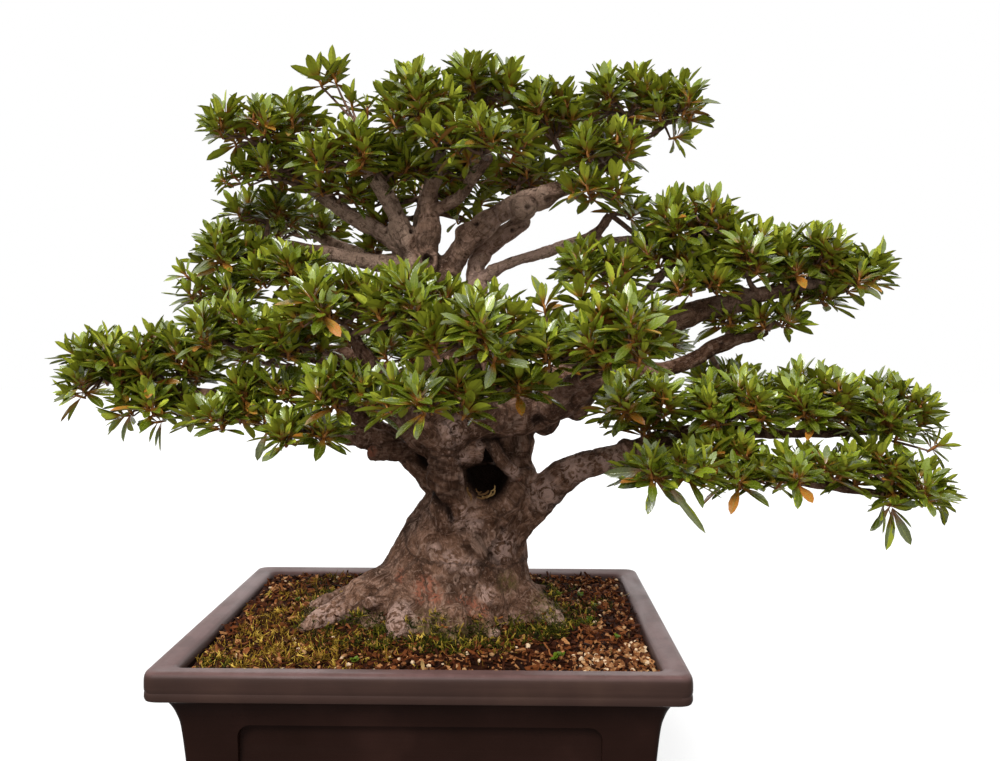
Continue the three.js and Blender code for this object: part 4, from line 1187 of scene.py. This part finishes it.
def mossShape(draw, tone):
    # a tuft of thin bent strands, darker at the foot with painted shade among the strands
    bm = bmesh.new()
    for _ in range(5):
        length, bow = draw.uniform(0.6, 1.9), draw.uniform(-0.5, 0.6)
        strand = bmesh.new()
        bmesh.ops.create_cone(strand, segments=3, radius1=0.1, radius2=0.05, depth=length)
        bmesh.ops.translate(strand, verts=strand.verts, vec=(0, 0, length / 2))
        long = [edge for edge in strand.edges if abs(edge.verts[0].co.z - edge.verts[1].co.z) > 0.1]
        bmesh.ops.subdivide_edges(strand, edges=long, cuts=1)
        bmesh.ops.holes_fill(strand, edges=strand.edges, sides=0)
        for vert in strand.verts:
            vert.co.x += bow * vert.co.z**2
        foot = Matrix.Translation((draw.uniform(-0.6, 0.6), draw.uniform(-0.6, 0.6), 0))
        turn = Matrix.Rotation(draw.uniform(0, 2 * math.pi), 4, "Z")
        strand.transform(foot @ turn @ Matrix.Rotation(draw.uniform(0.1, 1.45), 4, "X"))
        bmesh.ops.recalc_face_normals(strand, faces=strand.faces)
        addMesh(bm, meshFrom(strand, "strand"))
    layer = bm.verts.layers.float.new("tone")
    for vert in bm.verts:
        vert[layer] = tone * max(0.05, min(1, 1.3 * vert.co.z))
    return meshFrom(bm, "moss")


def litterShape(draw, tone):
    # a curled dead leaf, from its stalk along +Y
    bm = bmesh.new()
    bmesh.ops.create_grid(bm, x_segments=2, y_segments=5, size=1)
    curl, roll = draw.uniform(0.7, 1.8), draw.uniform(0.5, 1.4)
    length, widest = 24, 4.4
    for vert in bm.verts:
        along = (vert.co.y + 1) / 2
        half = widest * math.sin(math.pi * min(0.98, 0.08 + 0.9 * along)) ** 0.8
        turn = roll * vert.co.x
        x = half * math.sin(turn) / roll
        lift = half * (1 - math.cos(turn)) / roll
        bend = curl * along
        y = length * math.sin(bend) / curl - lift * math.sin(bend)
        z = length * (1 - math.cos(bend)) / curl + lift * math.cos(bend)
        vert.co = (x, y, z)
    bmesh.ops.recalc_face_normals(bm, faces=bm.faces)
    bmesh.ops.solidify(bm, geom=bm.faces[:], thickness=0.5)
    return toned(bm, tone)


def weedShape(draw, tone):
    # a small weed with round leaves
    bm = bmesh.new()
    for k in range(6):
        blade = bmesh.new()
        bmesh.ops.create_circle(blade, cap_ends=True, segments=7, radius=2.2)
        bmesh.ops.solidify(blade, geom=blade.faces[:], thickness=0.4)
        bmesh.ops.scale(blade, verts=blade.verts, vec=(0.75, 1, 1))
        lean = Matrix.Rotation(draw.uniform(0.2, 1.0), 4, "X")
        turn = Matrix.Rotation(2.4 * k + draw.uniform(-0.3, 0.3), 4, "Z")
        blade.transform(turn @ Matrix.Translation((0, 1.8, 2.4 + 0.5 * k)) @ lean)
        addMesh(bm, meshFrom(blade, "blade"))
    stalk = Matrix.Translation((0, 0, 2))
    bmesh.ops.create_cone(bm, cap_ends=True, segments=4, radius1=0.4, radius2=0.3, depth=5, matrix=stalk)
    bmesh.ops.recalc_face_normals(bm, faces=bm.faces)
    return toned(bm, tone)


def restingPlace(x, y):
    # the height of the soil there, or none inside the wood or against the wall
    halfX, halfY = innerHalf(soil["edgeTop"])
    if abs(x) > halfX - 4 or abs(y) > halfY - 4:
        return None
    z = soilHeight(x, y)
    hit = woodTree.ray_cast(Vector((x, y, 175)), Vector((0, 0, -1)))[0]
    if hit and hit.z > z + 1.5:
        return None
    return z


def mossBank(count, draw, share=1.0):
    # places on the foot of the trunk, just above the soil, where the painted moss is
    low = []
    for vert in woodMesh.vertices:
        above = vert.co.z - soilHeight(vert.co.x, vert.co.y)
        if -3 < above < soil["bankHeight"] + 22 * paintStrength(vert.co, wood["moss"]):
            low.append(vert)
    made = []
    for vert in draw.sample(low, count):
        stray = Vector((draw.uniform(-0.5, 0.5), draw.uniform(-0.5, 0.5), 0.7))
        up = (vert.normal * 0.6 + stray).normalized()
        turn = up.to_track_quat("Z", "Y").to_matrix().to_4x4()
        made.append(Matrix.Translation(vert.co) @ turn @ Matrix.Scale(share * draw.uniform(2.6, 6.2), 4))
    return made


def strew(name, shapes, spots, sizes, tilt, sink, finish, draw, placed=()):
    # one piece of many small shapes: those placed already, then one at each spot on the soil
    bm = bmesh.new()
    bm.verts.layers.float.new("tone")
    for matrix in placed:
        addMesh(bm, draw.choice(shapes), matrix)
    for x, y in spots:
        z = restingPlace(x, y)
        if z is None:
            continue
        size = draw.uniform(*sizes)
        turn = Matrix.Rotation(draw.uniform(0, 2 * math.pi), 4, "Z")
        turn = turn @ Matrix.Rotation(draw.gauss(0, tilt), 4, "X")
        turn = turn @ Matrix.Rotation(draw.gauss(0, tilt), 4, "Y")
        spot = Matrix.Translation((x, y, z + sink * size))
        addMesh(bm, draw.choice(shapes), spot @ turn @ Matrix.Scale(size, 4))
    count = len(bm.faces)
    finishPiece(name, meshFrom(bm, name), [finishes[finish]], sharpAngle=40)
    print(name, "has", count, "faces")


def discSpots(rows, draw):
    made = []
    for x, y, radius, count in rows:
        for _ in range(count):
            away, turn = radius * math.sqrt(draw.random()), draw.uniform(0, 2 * math.pi)
            made.append((x + away * math.cos(turn), y + away * math.sin(turn)))
    return made


def makeSoil():
    makeSoilBed()
    draw = random.Random(11)
    halfX, halfY = innerHalf(soil["edgeTop"])

    def anywhere(count):
        return [(draw.uniform(-halfX, halfX), draw.uniform(-halfY, halfY)) for _ in range(count)]

    def prepared(shape, forms, *tones):
        return [shape(draw, tone) for tone in tones for _ in range(forms)]

    grains = prepared(grainShape, 2, 0.05, 0.2, 0.3, 0.4, 0.5, 0.6, 0.7, 0.82, 0.95)
    chips = prepared(chipShape, 3, 0.1, 0.25, 0.35, 0.45, 0.55, 0.65, 0.75, 0.9)
    strips = prepared(stripShape, 3, 0.15, 0.3, 0.4, 0.5, 0.6, 0.8)
    strew("soil_grains", grains, anywhere(soil["grains"]), (1.5, 2.7), 0.6, 0.1, "soil", draw)
    strew("soil_chips", chips, anywhere(soil["chips"]), (1.4, 3.0), 0.35, 0.25, "soil", draw)
    loose = anywhere(soil["strips"])
    clinging = mossBank(soil["clinging"], draw, 0.3)
    strew("bark_shreds", strips, loose, (1.0, 2.3), 0.4, 0.5, "soil", draw, clinging)
    pebbles = prepared(grainShape, 2, 0.05, 0.2, 0.35, 0.5, 0.7, 0.95)
    strew("pale_gravel", pebbles, discSpots(soil["gravel"], draw), (1.7, 3.2), 0.6, 0.35, "gravel", draw)
    tufts = prepared(mossShape, 1, 0.05, 0.12, 0.2, 0.3, 0.36, 0.45, 0.6, 0.9)
    bank = mossBank(soil["bankMoss"], draw)
    strew("moss", tufts, discSpots(soil["moss"], draw), (3.0, 6.4), 0.6, 0.05, "moss", draw, bank)
    strew("dry_moss", tufts, discSpots(soil["dryMoss"], draw), (2.6, 5.2), 0.7, 0.05, "dryMoss", draw)
    dead = prepared(litterShape, 2, 0.15, 0.35, 0.5, 0.7, 0.95)
    weeds = prepared(weedShape, 1, 0.45, 0.6, 0.75)
    strew("weeds", weeds, soil["weeds"], (0.8, 1.2), 0.2, 0.3, "weed", draw)
    strew("fallen_leaves", dead, anywhere(soil["litter"]), (0.26, 0.46), 0.35, 1.5, "deadLeaf", draw)
    caught = bmesh.new()
    caught.verts.layers.float.new("tone")
    for place, lean, tilt, size, sweep in soil["inHollow"]:
        turn = Matrix.Rotation(lean, 4, "Y") @ Matrix.Rotation(tilt, 4, "X") @ Matrix.Scale(size, 4)
        shape = stripShape(draw, draw.choice((0.15, 0.3, 0.45, 0.6)), sweep, 0.6)
        addMesh(caught, shape, Matrix.Translation(place) @ turn)
    mesh = meshFrom(caught, "caught")
    finishPiece("leaves_in_hollow", mesh, [finishes["deadLeaf"]], sharpAngle=40)


makeSoil()
finishPiece("trunk_and_limbs", woodMesh, [finishes["bark"]], ["trunk_roots_and_limbs"])
print("soil done")

# The leaves, in whorls at the ends of twigs
leaf = {
    "length": 26,
    "width": 7.9,
    "thickness": 0.5,
    # how far along the leaf each row lies, and its half width there
    "outline": [(0, 0.12), (0.2, 0.42), (0.44, 0.88), (0.67, 1.0), (0.88, 0.64), (1, 0.0)],
    "forms": 7,
    "tones": (0.03, 0.16, 0.24, 0.32, 0.4, 0.48, 0.56, 0.64, 0.72, 0.8, 0.9, 1.0),
}
whorl = {
    # from the outside in: how many leaves, their lift above the whorl's plane in degrees, their size and
    # tone, and how far below the tip they stand
    "rings": [
        {"count": (4, 6), "lift": (-10, 24), "size": (0.95, 1.22), "tone": (0.14, 0.46), "below": 8},
        {"count": (4, 5), "lift": (24, 50), "size": (0.88, 1.16), "tone": (0.3, 0.7), "below": 4},
        {"count": (3, 4), "lift": (52, 80), "size": (0.6, 1.0), "tone": (0.56, 1.0), "below": 1},
    ],
    "oldShare": 0.09,  # dead leaves among the outer ones
    "turn": 137.5,  # degrees from one leaf to the next
    "hubTurn": 0.7549,  # share of a turn from one whorl of a puff to the next
    "spacing": 124,  # area of puff to each whorl
    "backSpacing": 200,
    "crownSpacing": 144,
    "reach": 1.035,
    "out": 0.8,
    "settle": 3,  # how far beyond the puff the whorls stand
}
# the limb that each branch springs from, and its puffs of leaves by middle and half size
branches = {
    "crown_left_tip": ("leader_d", [((-178, -20, 622), (33, 27, 17))]),
    "crown_left": ("leader_d", [
        ((-162, 12, 588), (32, 27, 14)), ((-145, 8, 634), (21, 26, 15)), ((-96, 14, 568), (26, 22, 13)),
    ]),
    "crown_sprig": ("leader_a", [((-84, -30, 594), (33, 30, 20)), ((-48, 2, 588), (24, 22, 16))]),
    "crown_centre_left": ("leader_b", [((-10, -50, 632), (28, 36, 30))]),
    "crown_top": ("leader_b", [((46, -16, 662), (30, 36, 18)), ((-20, 4, 590), (16, 18, 14))]),
    "crown_front": ("leader_c", [((46, -80, 596), (42, 27, 18)), ((22, 16, 590), (26, 22, 14))]),
    "crown_centre_right": ("right_leader", [
        ((112, -16, 635), (27, 36, 20)), ((82, 34, 590), (28, 22, 13)),
    ]),
    "crown_right_inner": ("right_leader", [
        ((162, -26, 598), (32, 30, 15)), ((150, -38, 562), (28, 18, 7)),
    ]),
    "crown_right": ("right_leader", [((186, 4, 655), (36, 37, 17))]),
    "crown_right_tip": ("right_leader", [((235, -8, 645), (22, 27, 18))]),
    "left_mid_upper": ("leader_e", [((-184, 62, 553), (34, 30, 12))]),
    "left_mid": ("leader_e", [((-211, 40, 506), (34, 36, 19)), ((-222, 18, 464), (30, 25, 9))]),
    "left_mid_inner": ("leader_e", [((-150, 8, 486), (30, 32, 16))]),
    "front_left": ("front_left", [((-72, -122, 446), (40, 36, 21))]),
    "front_centre_left": ("front_left", [((-4, -160, 445), (32, 36, 21))]),
    "front_centre": ("front_mid", [((48, -200, 421), (33, 36, 24))]),
    "front_centre_right": ("front_right", [((110, -150, 412), (28, 34, 17))]),
    "front_right": ("front_right", [((162, -192, 416), (28, 30, 28))]),
    "front_low": ("front_mid", [((12, -190, 372), (34, 27, 16))]),
    "front_low_right": ("front_mid", [((78, -146, 380), (27, 26, 13))]),
    "front_low_left": ("front_left", [((-62, -142, 372), (30, 30, 17))]),
    "left_low_tip": ("left_low", [((-314, -22, 388), (30, 43, 27))]),
    "left_low_outer": ("left_low", [((-258, -26, 392), (36, 40, 27)), ((-262, -44, 356), (32, 28, 11))]),
    "left_low_mid": ("left_upper", [((-194, -34, 422), (33, 40, 22))]),
    "left_low_inner": ("left_upper", [((-128, -62, 418), (28, 34, 20))]),
    "left_low_under": ("left_low", [((-186, -62, 347), (38, 28, 8)), ((-160, -40, 370), (36, 28, 12))]),
    "left_low_hang": ("left_low", [((-112, -72, 333), (32, 26, 8))]),
    "right_mid_inner": ("slender", [
        ((158, -24, 486), (32, 30, 18)), ((186, -8, 546), (12, 14, 7)), ((228, -10, 498), (28, 24, 13)),
    ]),
    "right_mid_top": ("slender_fork", [((250, -10, 530), (40, 36, 20))]),
    "right_mid": ("right_mid", [((300, -26, 496), (34, 40, 21))]),
    "right_mid_outer": ("right_mid", [((360, -14, 496), (33, 41, 22)), ((372, 0, 462), (28, 24, 9))]),
    "right_mid_tip": ("right_mid", [((406, -22, 480), (20, 27, 16))]),
    "right_mid_under": ("right_mid_thin", [((254, -34, 472), (28, 24, 8))]),
    "right_mid_low": ("right_mid_low", [((336, -6, 440), (22, 20, 7)), ((290, 4, 440), (22, 18, 5))]),
    "right_back_top": ("right_mid_low", [((300, 56, 379), (26, 24, 7))]),
    "right_low_inner": ("right_low_fork", [
        ((196, -52, 360), (33, 30, 18)), ((206, -30, 338), (22, 18, 8)),
    ]),
    "right_low_hang": ("right_low", [((216, -100, 304), (34, 20, 11)), ((272, -60, 314), (26, 24, 9))]),
    "right_low_mid": ("right_low_fork", [((284, -40, 356), (35, 40, 20))]),
    "right_low_outer": ("right_low_fork", [((360, -34, 358), (36, 44, 24))]),
    "right_low_far": ("right_low_fork", [((434, -30, 346), (36, 40, 28))]),
    "right_low_tip": ("right_low", [((446, -66, 284), (21, 30, 17)), ((404, -60, 300), (28, 26, 14))]),
    "right_low_under": ("right_low", [((336, -84, 301), (38, 28, 10)), ((292, -80, 294), (30, 20, 6))]),
    "back_crown": ("back_crown", [
        ((-6, 112, 660), (60, 44, 26)), ((-70, 70, 568), (28, 20, 14)), ((10, 74, 574), (36, 20, 14)),
        ((30, 66, 547), (20, 12, 8)), ((-58, 62, 546), (16, 12, 7)),
    ]),
    "back_crown_right": ("back_crown_right", [
        ((148, 92, 648), (48, 36, 22)), ((86, 66, 584), (24, 18, 12)),
    ]),
    "back_left": ("back_left", [((-172, 152, 550), (50, 40, 22)), ((-62, 66, 520), (24, 20, 13))]),
    "back_centre": ("back", [
        ((-22, 170, 426), (62, 40, 22)), ((-46, 70, 400), (30, 24, 18)), ((-92, 66, 408), (20, 16, 12)),
    ]),
    "back_right": ("back_right", [((230, 152, 416), (48, 40, 21))]),
    "back_right_low": ("back_right_low", [((362, 122, 350), (44, 36, 21))]),
    "back_left_low": ("back_left_low", [((-216, 132, 404), (50, 40, 22))]),
}
# single shoots that stand out of the pads: the branch, the point each springs from, its tip, and the size
# of its leaves
sprigs = [
    ("crown_sprig", (-74, -24, 622), (-112, -20, 668), 1.15),
    ("crown_sprig", (-74, -24, 622), (-96, -22, 670), 1.15),
    ("crown_sprig", (-74, -24, 626), (-80, -20, 646), 0.85),
    ("crown_sprig", (-64, -24, 620), (-64, -22, 640), 0.7),
    ("crown_left", (-136, 8, 588), (-212, 0, 573), 0.6),
    ("crown_left", (-190, 2, 578), (-204, -2, 580), 0.55),
    ("crown_left", (-150, 8, 586), (-190, 0, 582), 0.55),
    ("left_mid_upper", (-214, 50, 530), (-228, 30, 528), 0.6),
    ("left_mid", (-236, 30, 480), (-260, 20, 482), 0.8),
    ("crown_right_tip", (222, -8, 630), (240, -10, 614), 0.9),
    ("right_mid_tip", (400, -20, 478), (426, -24, 492), 1.15),
    ("front_centre_right", (110, -146, 420), (102, -150, 446), 1.0),
    ("front_right", (150, -184, 430), (130, -164, 450), 1.0),
    ("front_right", (160, -184, 434), (158, -170, 458), 1.0),
    ("right_low_hang", (206, -60, 304), (204, -108, 296), 1.2),
    ("right_low_hang", (216, -60, 304), (232, -112, 300), 1.1),
    ("right_low_tip", (424, -60, 276), (430, -64, 262), 1.0),
    ("right_low_tip", (452, -60, 274), (474, -64, 272), 0.9),
    ("right_low_far", (440, -40, 320), (478, -50, 318), 0.9),
    ("left_low_tip", (-320, -30, 390), (-350, -30, 400), 1.0),
    ("left_low_tip", (-320, -34, 376), (-344, -44, 362), 0.95),
    ("left_low_outer", (-280, -40, 366), (-296, -50, 342), 1.0),
    ("left_low_outer", (-256, -50, 350), (-262, -56, 336), 0.95),
]
# leaves that hang down from a shoot: the branch, its foot, its tip's way, its size and its share of the
# usual width
hangers = [
    ("right_low_hang", (206, -112, 297), (0.62, -0.15, -0.76), 2.4, 0.42),
    ("right_low_hang", (196, -112, 302), (-0.98, -0.1, -0.12), 1.5, 0.9),
    ("right_low_hang", (200, -112, 300), (-0.6, -0.1, -0.5), 0.8, 1.2),
    ("right_low_hang", (226, -112, 300), (0.7, -0.1, -0.5), 0.9, 1.2),
    ("right_low_tip", (430, -64, 260), (-0.15, -0.1, -1), 1.5, 0.9),
    ("right_low_tip", (430, -64, 260), (0.35, -0.2, -0.85), 1.4, 0.9),
    ("right_low_tip", (428, -64, 262), (-0.7, -0.2, -0.7), 1.2, 0.9),
    ("right_low_tip", (474, -64, 270), (0.2, -0.1, -0.9), 1.0, 1.0),
    ("left_low_under", (-150, -70, 330), (-0.3, -0.2, -0.9), 1.1, 1.0),
]


def leafShape(draw, tone):
    # one thin closed leaf, from its stalk at the origin along +Y, with its face up and a plainer back
    bm = bmesh.new()
    rows = leaf["outline"]
    bmesh.ops.create_grid(bm, x_segments=2, y_segments=len(rows) - 1, size=0.5)
    spot = bm.verts.layers.float_vector.new("leaf")
    width = leaf["width"] / 2 * draw.uniform(0.85, 1.15)
    fold, arch, wave = draw.uniform(0.18, 0.5), draw.uniform(0.0, 0.2), draw.uniform(0.0, 0.35)
    sweep, phase = draw.uniform(-0.07, 0.07), draw.uniform(0, 6)
    for vert in bm.verts:
        across = 2 * vert.co.x
        along, share = rows[round((vert.co.y + 0.5) * (len(rows) - 1))]
        half = width * share
        rise = fold * half * abs(across) + wave * across * math.sin(7 * along + phase)
        height = leaf["length"] * (0.06 * along - arch * along**2)
        vert[spot] = (across, along, tone)
        vert.co = (across * half + leaf["length"] * sweep * along**2, leaf["length"] * along, height + rise)
    copied = bmesh.ops.duplicate(bm, geom=bm.faces[:])["geom"]
    back = [item for item in copied if isinstance(item, bmesh.types.BMFace)]
    bmesh.ops.reverse_faces(bm, faces=back)
    for face in back:
        face.material_index = 1
    # the back has one face on each side of its rib
    crossing = []
    rib = []
    for item in copied:
        if isinstance(item, bmesh.types.BMEdge) and not item.is_boundary:
            if abs(item.verts[0][spot][1] - item.verts[1][spot][1]) < 0.01:
                crossing.append(item)
        if isinstance(item, bmesh.types.BMVert):
            if abs(item[spot][0]) < 0.1 and 0.05 < item[spot][1] < 0.95:
                rib.append(item)
    bmesh.ops.dissolve_edges(bm, edges=crossing, use_verts=False)
    for vert in rib:
        vert.co.z -= leaf["thickness"]
    bmesh.ops.dissolve_verts(bm, verts=rib[::2])
    bmesh.ops.remove_doubles(bm, verts=bm.verts, dist=0.02)
    for edge in bm.edges:
        sides = {face.material_index for face in edge.link_faces}
        edge.smooth = len(sides) == 1
    for face in bm.faces:
        face.smooth = True
    return meshFrom(bm, "leaf")


def puffHubs(middle, half, spacing, draw):
    # where the whorls of a puff stand, with the way that each one faces
    halfX, halfY, halfZ = half
    count = max(2, round((halfX * halfY + halfX * halfZ + halfY * halfZ) / spacing))
    start = draw.random()
    made = []
    for i in range(count):
        turn = 2 * math.pi * ((i * whorl["hubTurn"] + start) % 1)
        height = 1 - 1.5 * ((i + 0.5) / count)
        level = math.sqrt(1 - height * height)
        out = Vector((math.cos(turn) * level, math.sin(turn) * level, height))
        reach = whorl["reach"] * (0.6 if i % 5 == 3 else draw.uniform(0.84, 1.05))
        swept = Vector((out.x * halfX, out.y * halfY, out.z * halfZ)) * reach
        hub = Vector(middle) + swept + out * whorl["out"]
        hub.z -= whorl["settle"]
        facing = Vector((out.x * 0.5, out.y * 0.5, 0.85 + 0.3 * out.z))
        facing += Vector((draw.uniform(-1, 1), draw.uniform(-1, 1), draw.uniform(-0.5, 0.5))) * 0.22
        made.append((hub, facing.normalized(), height))
    return made


def toneIndex(tone):
    # the prepared tone nearest to this one; the first is only for dead leaves
    return 0 if tone <= 0 else min(range(1, len(leaf["tones"])), key=lambda k: abs(leaf["tones"][k] - tone))


def addLeaf(bm, foot, along, axis, tone, scale, draw, narrow=1.0):
    along = along.normalized()
    wide = along.cross(axis).normalized()
    face = wide.cross(along)
    roll = Matrix.Rotation(draw.uniform(-0.35, 0.35), 3, along)
    wide, face = roll @ wide, roll @ face
    turn = Matrix((wide, along, face)).transposed().to_4x4()
    matrix = Matrix.Translation(foot) @ turn @ Matrix.Diagonal((scale * narrow, scale, scale, 1))
    addMesh(bm, draw.choice(leafShapes[toneIndex(tone)]), matrix)


def addWhorl(bm, hub, axis, height, draw, size=1.0):
    side = axis.orthogonal().normalized()
    ahead = axis.cross(side)
    turn = draw.uniform(0, 2 * math.pi)
    # each whorl's leaves shift in tone at random, and are a little lighter near the top of the puff
    whorlTone = draw.uniform(-0.1, 0.12) + 0.07 * height
    for ring in whorl["rings"]:
        for _ in range(draw.randint(*ring["count"])):
            turn += math.radians(whorl["turn"]) + draw.uniform(-0.3, 0.3)
            out = side * math.cos(turn) + ahead * math.sin(turn)
            lift = math.radians(draw.uniform(*ring["lift"]))
            isOld = ring is whorl["rings"][0] and draw.random() < whorl["oldShare"]
            tone = 0 if isOld else max(0.12, draw.uniform(*ring["tone"]) + whorlTone)
            foot = hub - axis * (ring["below"] * size) + out * 0.8
            along = out * math.cos(lift) + axis * math.sin(lift)
            addLeaf(bm, foot, along, axis, tone, size * draw.uniform(*ring["size"]), draw)


def bentPath(start, end, startRadius, endRadius, draw, steps=3, sag=0.12):
    # a twig from one point to another, with a soft bend
    way = end - start
    bend = Vector((draw.uniform(-1, 1), draw.uniform(-1, 1), draw.uniform(-0.8, 0.4))) * way.length * sag
    made = []
    for k in range(steps + 1):
        t = k / steps
        place = start + way * t + bend * (4 * t * (1 - t))
        made.append(Vector((*place, startRadius + (endRadius - startRadius) * t)))
    return made


def addShoot(bm, knee, hub, facing, draw):
    # a grey twig and its young tip below a whorl
    neck = hub - facing * 11
    addTube(bm, bentPath(knee, neck, 1.3, 0.95, draw, 2), 4, 2)
    addTube(bm, [Vector((*neck, 1.3)), Vector((*(hub - facing * 4), 1.8)), Vector((*hub, 0.8))], 4, 3)


def addTwigs(bm, start, startRadius, hubs, middle, half, draw):
    crotch = start.lerp(Vector(middle) - Vector((0, 0, half[2] * 0.7)), 0.8)
    addTube(bm, bentPath(start, crotch, min(3.6, startRadius * 0.7), 2.2, draw, 5, 0.08), 6, 2)
    arms = 4 if len(hubs) > 8 else 2 if len(hubs) > 2 else 1
    groups = {}
    for hub, facing, height in hubs:
        turn = math.atan2(hub.y - middle[1], hub.x - middle[0])
        groups.setdefault(int((turn / (2 * math.pi) % 1) * arms), []).append((hub, facing))
    for group in groups.values():
        mean = sum((hub for hub, _ in group), Vector()) / len(group)
        knee = crotch.lerp(mean, 0.5) - Vector((0, 0, half[2] * 0.12))
        addTube(bm, bentPath(crotch, knee, 2.1, 1.4, draw), 5, 2)
        for hub, facing in group:
            addShoot(bm, knee, hub, facing, draw)


def makeBranch(name, limbName, puffs, draw):
    bm = bmesh.new()
    bm.verts.layers.float_vector.new("leaf")
    rows = curveThrough(wood["limbs"][limbName], 12)
    spacing = whorl.get(name.split("_")[0] + "Spacing", whorl["spacing"])
    for middle, half in puffs:
        hubs = puffHubs(middle, half, spacing, draw)
        root = min(rows, key=lambda row: (row.xyz - Vector(middle)).length)
        addTwigs(bm, root.xyz, root.w, hubs, middle, half, draw)
        for hub, facing, height in hubs:
            addWhorl(bm, hub, facing, height, draw)
    for branch, start, tip, size in sprigs:
        if branch == name:
            start, tip = Vector(start), Vector(tip)
            facing = ((tip - start).normalized() + Vector((0, 0, 0.8))).normalized()
            addTube(bm, bentPath(start, tip - facing * 10, 1.5, 1.0, draw, 4, 0.06), 5, 2)
            addShoot(bm, tip - facing * 12, tip, facing, draw)
            addWhorl(bm, tip, facing, 1, draw, size)
    for branch, foot, way, size, narrow in hangers:
        if branch == name:
            addLeaf(bm, Vector(foot), Vector(way), Vector((0.1, -1, 0.4)), 0.16, size, draw, narrow)
    kinds = [finishes["leafFace"], finishes["leafBack"], finishes["twig"], finishes["shoot"]]
    faces = len(bm.faces)
    finishPiece("leaves_" + name, meshFrom(bm, name), kinds, ["leafy_branch_" + name])
    return faces


leafDraw = random.Random(1868)
leafShapes = [[leafShape(leafDraw, tone) for _ in range(leaf["forms"])] for tone in leaf["tones"]]
leafFaces = 0
for branchName, (limbName, puffs) in branches.items():
    leafFaces += makeBranch(branchName, limbName, puffs, random.Random(branchName))
print("leaves done:", leafFaces, "faces")

# The floor, the light and the camera
studio = {
    "floorSize": 12.0,  # metres
    # how bright the surroundings are below and above, and what the front and back add
    "below": 0.18,
    "above": 1.35,
    "front": 0.45,
    "back": 1.1,
    "sun": {"strength": 2.8, "spread": 24, "down": 42, "from": -22},  # degrees; from the left of the front
}


def makeStudio():
    floorMesh = bmesh.new()
    bmesh.ops.create_grid(floorMesh, x_segments=1, y_segments=1, size=studio["floorSize"] / 2)
    floor = bpy.data.objects.new("floor", meshFrom(floorMesh, "floor"))
    material, tree, shader = newTree(
        "pale_floor", Roughness=0.95, Specular_IOR_Level=0.0, Emission_Color=(1, 1, 1, 1),
        Emission_Strength=0.76,
    )
    tint = ramp(tree, grain(tree, objectPlace(tree), 3, 2), [(0.3, (0.24,) * 3), (0.7, (0.25,) * 3)])
    join(tree, tint, shader.inputs["Base Color"])
    floor.data.materials.append(material)
    bpy.context.scene.collection.objects.link(floor)
    floor.visible_diffuse = False  # the white floor doesn't light the pot from below
    floor.visible_glossy = False

    world = bpy.data.worlds.new("studio")
    world.use_nodes = True
    tree = world.node_tree
    back = tree.nodes["Background"]
    back.inputs["Color"].default_value = (1, 1, 1, 1)
    way = split(tree, tree.nodes.new("ShaderNodeTexCoord").outputs["Generated"])
    sky = between(tree, way["Z"], -0.3, 0.9, (studio["below"], studio["above"]))
    sky = calc(tree, "ADD", sky, between(tree, way["Y"], 0.3, -0.9, (0.0, studio["front"])))
    sky = calc(tree, "ADD", sky, between(tree, way["Y"], 0.25, 0.85, (0.0, studio["back"])))
    isSeen = tree.nodes.new("ShaderNodeLightPath").outputs["Is Camera Ray"]
    glow = calc(tree, "ADD", times(tree, sky, calc(tree, "SUBTRACT", 1.0, isSeen)), isSeen)
    join(tree, glow, back.inputs["Strength"])
    bpy.context.scene.world = world

    data = bpy.data.lights.new("sun", "SUN")
    data.energy, data.angle = studio["sun"]["strength"], math.radians(studio["sun"]["spread"])
    lamp = bpy.data.objects.new("sun", data)
    down, turn = math.radians(studio["sun"]["down"]), math.radians(studio["sun"]["from"])
    lamp.rotation_euler = (math.pi / 2 - down, 0, turn)
    lamp.location = (-1, -1.5, 2.5)
    bpy.context.scene.collection.objects.link(lamp)


# the photograph's camera: millimetres from the pot's middle, angles in radians, lens in millimetres
eye = {
    "place": (75, -860.5, 414.5),
    "down": 0.0462,
    "left": 0.0123,
    "roll": 0.0032,
    "lens": 30.93,
    "sensor": 36,
}


def makeCamera():
    data = bpy.data.cameras.new("camera")
    data.sensor_fit, data.sensor_width, data.lens = "HORIZONTAL", eye["sensor"], eye["lens"]
    data.clip_start, data.clip_end = 0.01, 50
    camera = bpy.data.objects.new("camera", data)
    turn = Matrix.Rotation(eye["left"], 4, "Z") @ Matrix.Rotation(math.pi / 2 - eye["down"], 4, "X")
    turn = turn @ Matrix.Rotation(eye["roll"], 4, "Z")
    camera.matrix_world = Matrix.Translation(toFrame @ Vector(eye["place"])) @ turn
    bpy.context.scene.collection.objects.link(camera)
    bpy.context.scene.camera = camera


makeStudio()
makeCamera()
bpy.context.scene.view_settings.view_transform = "Standard"
print("studio done")
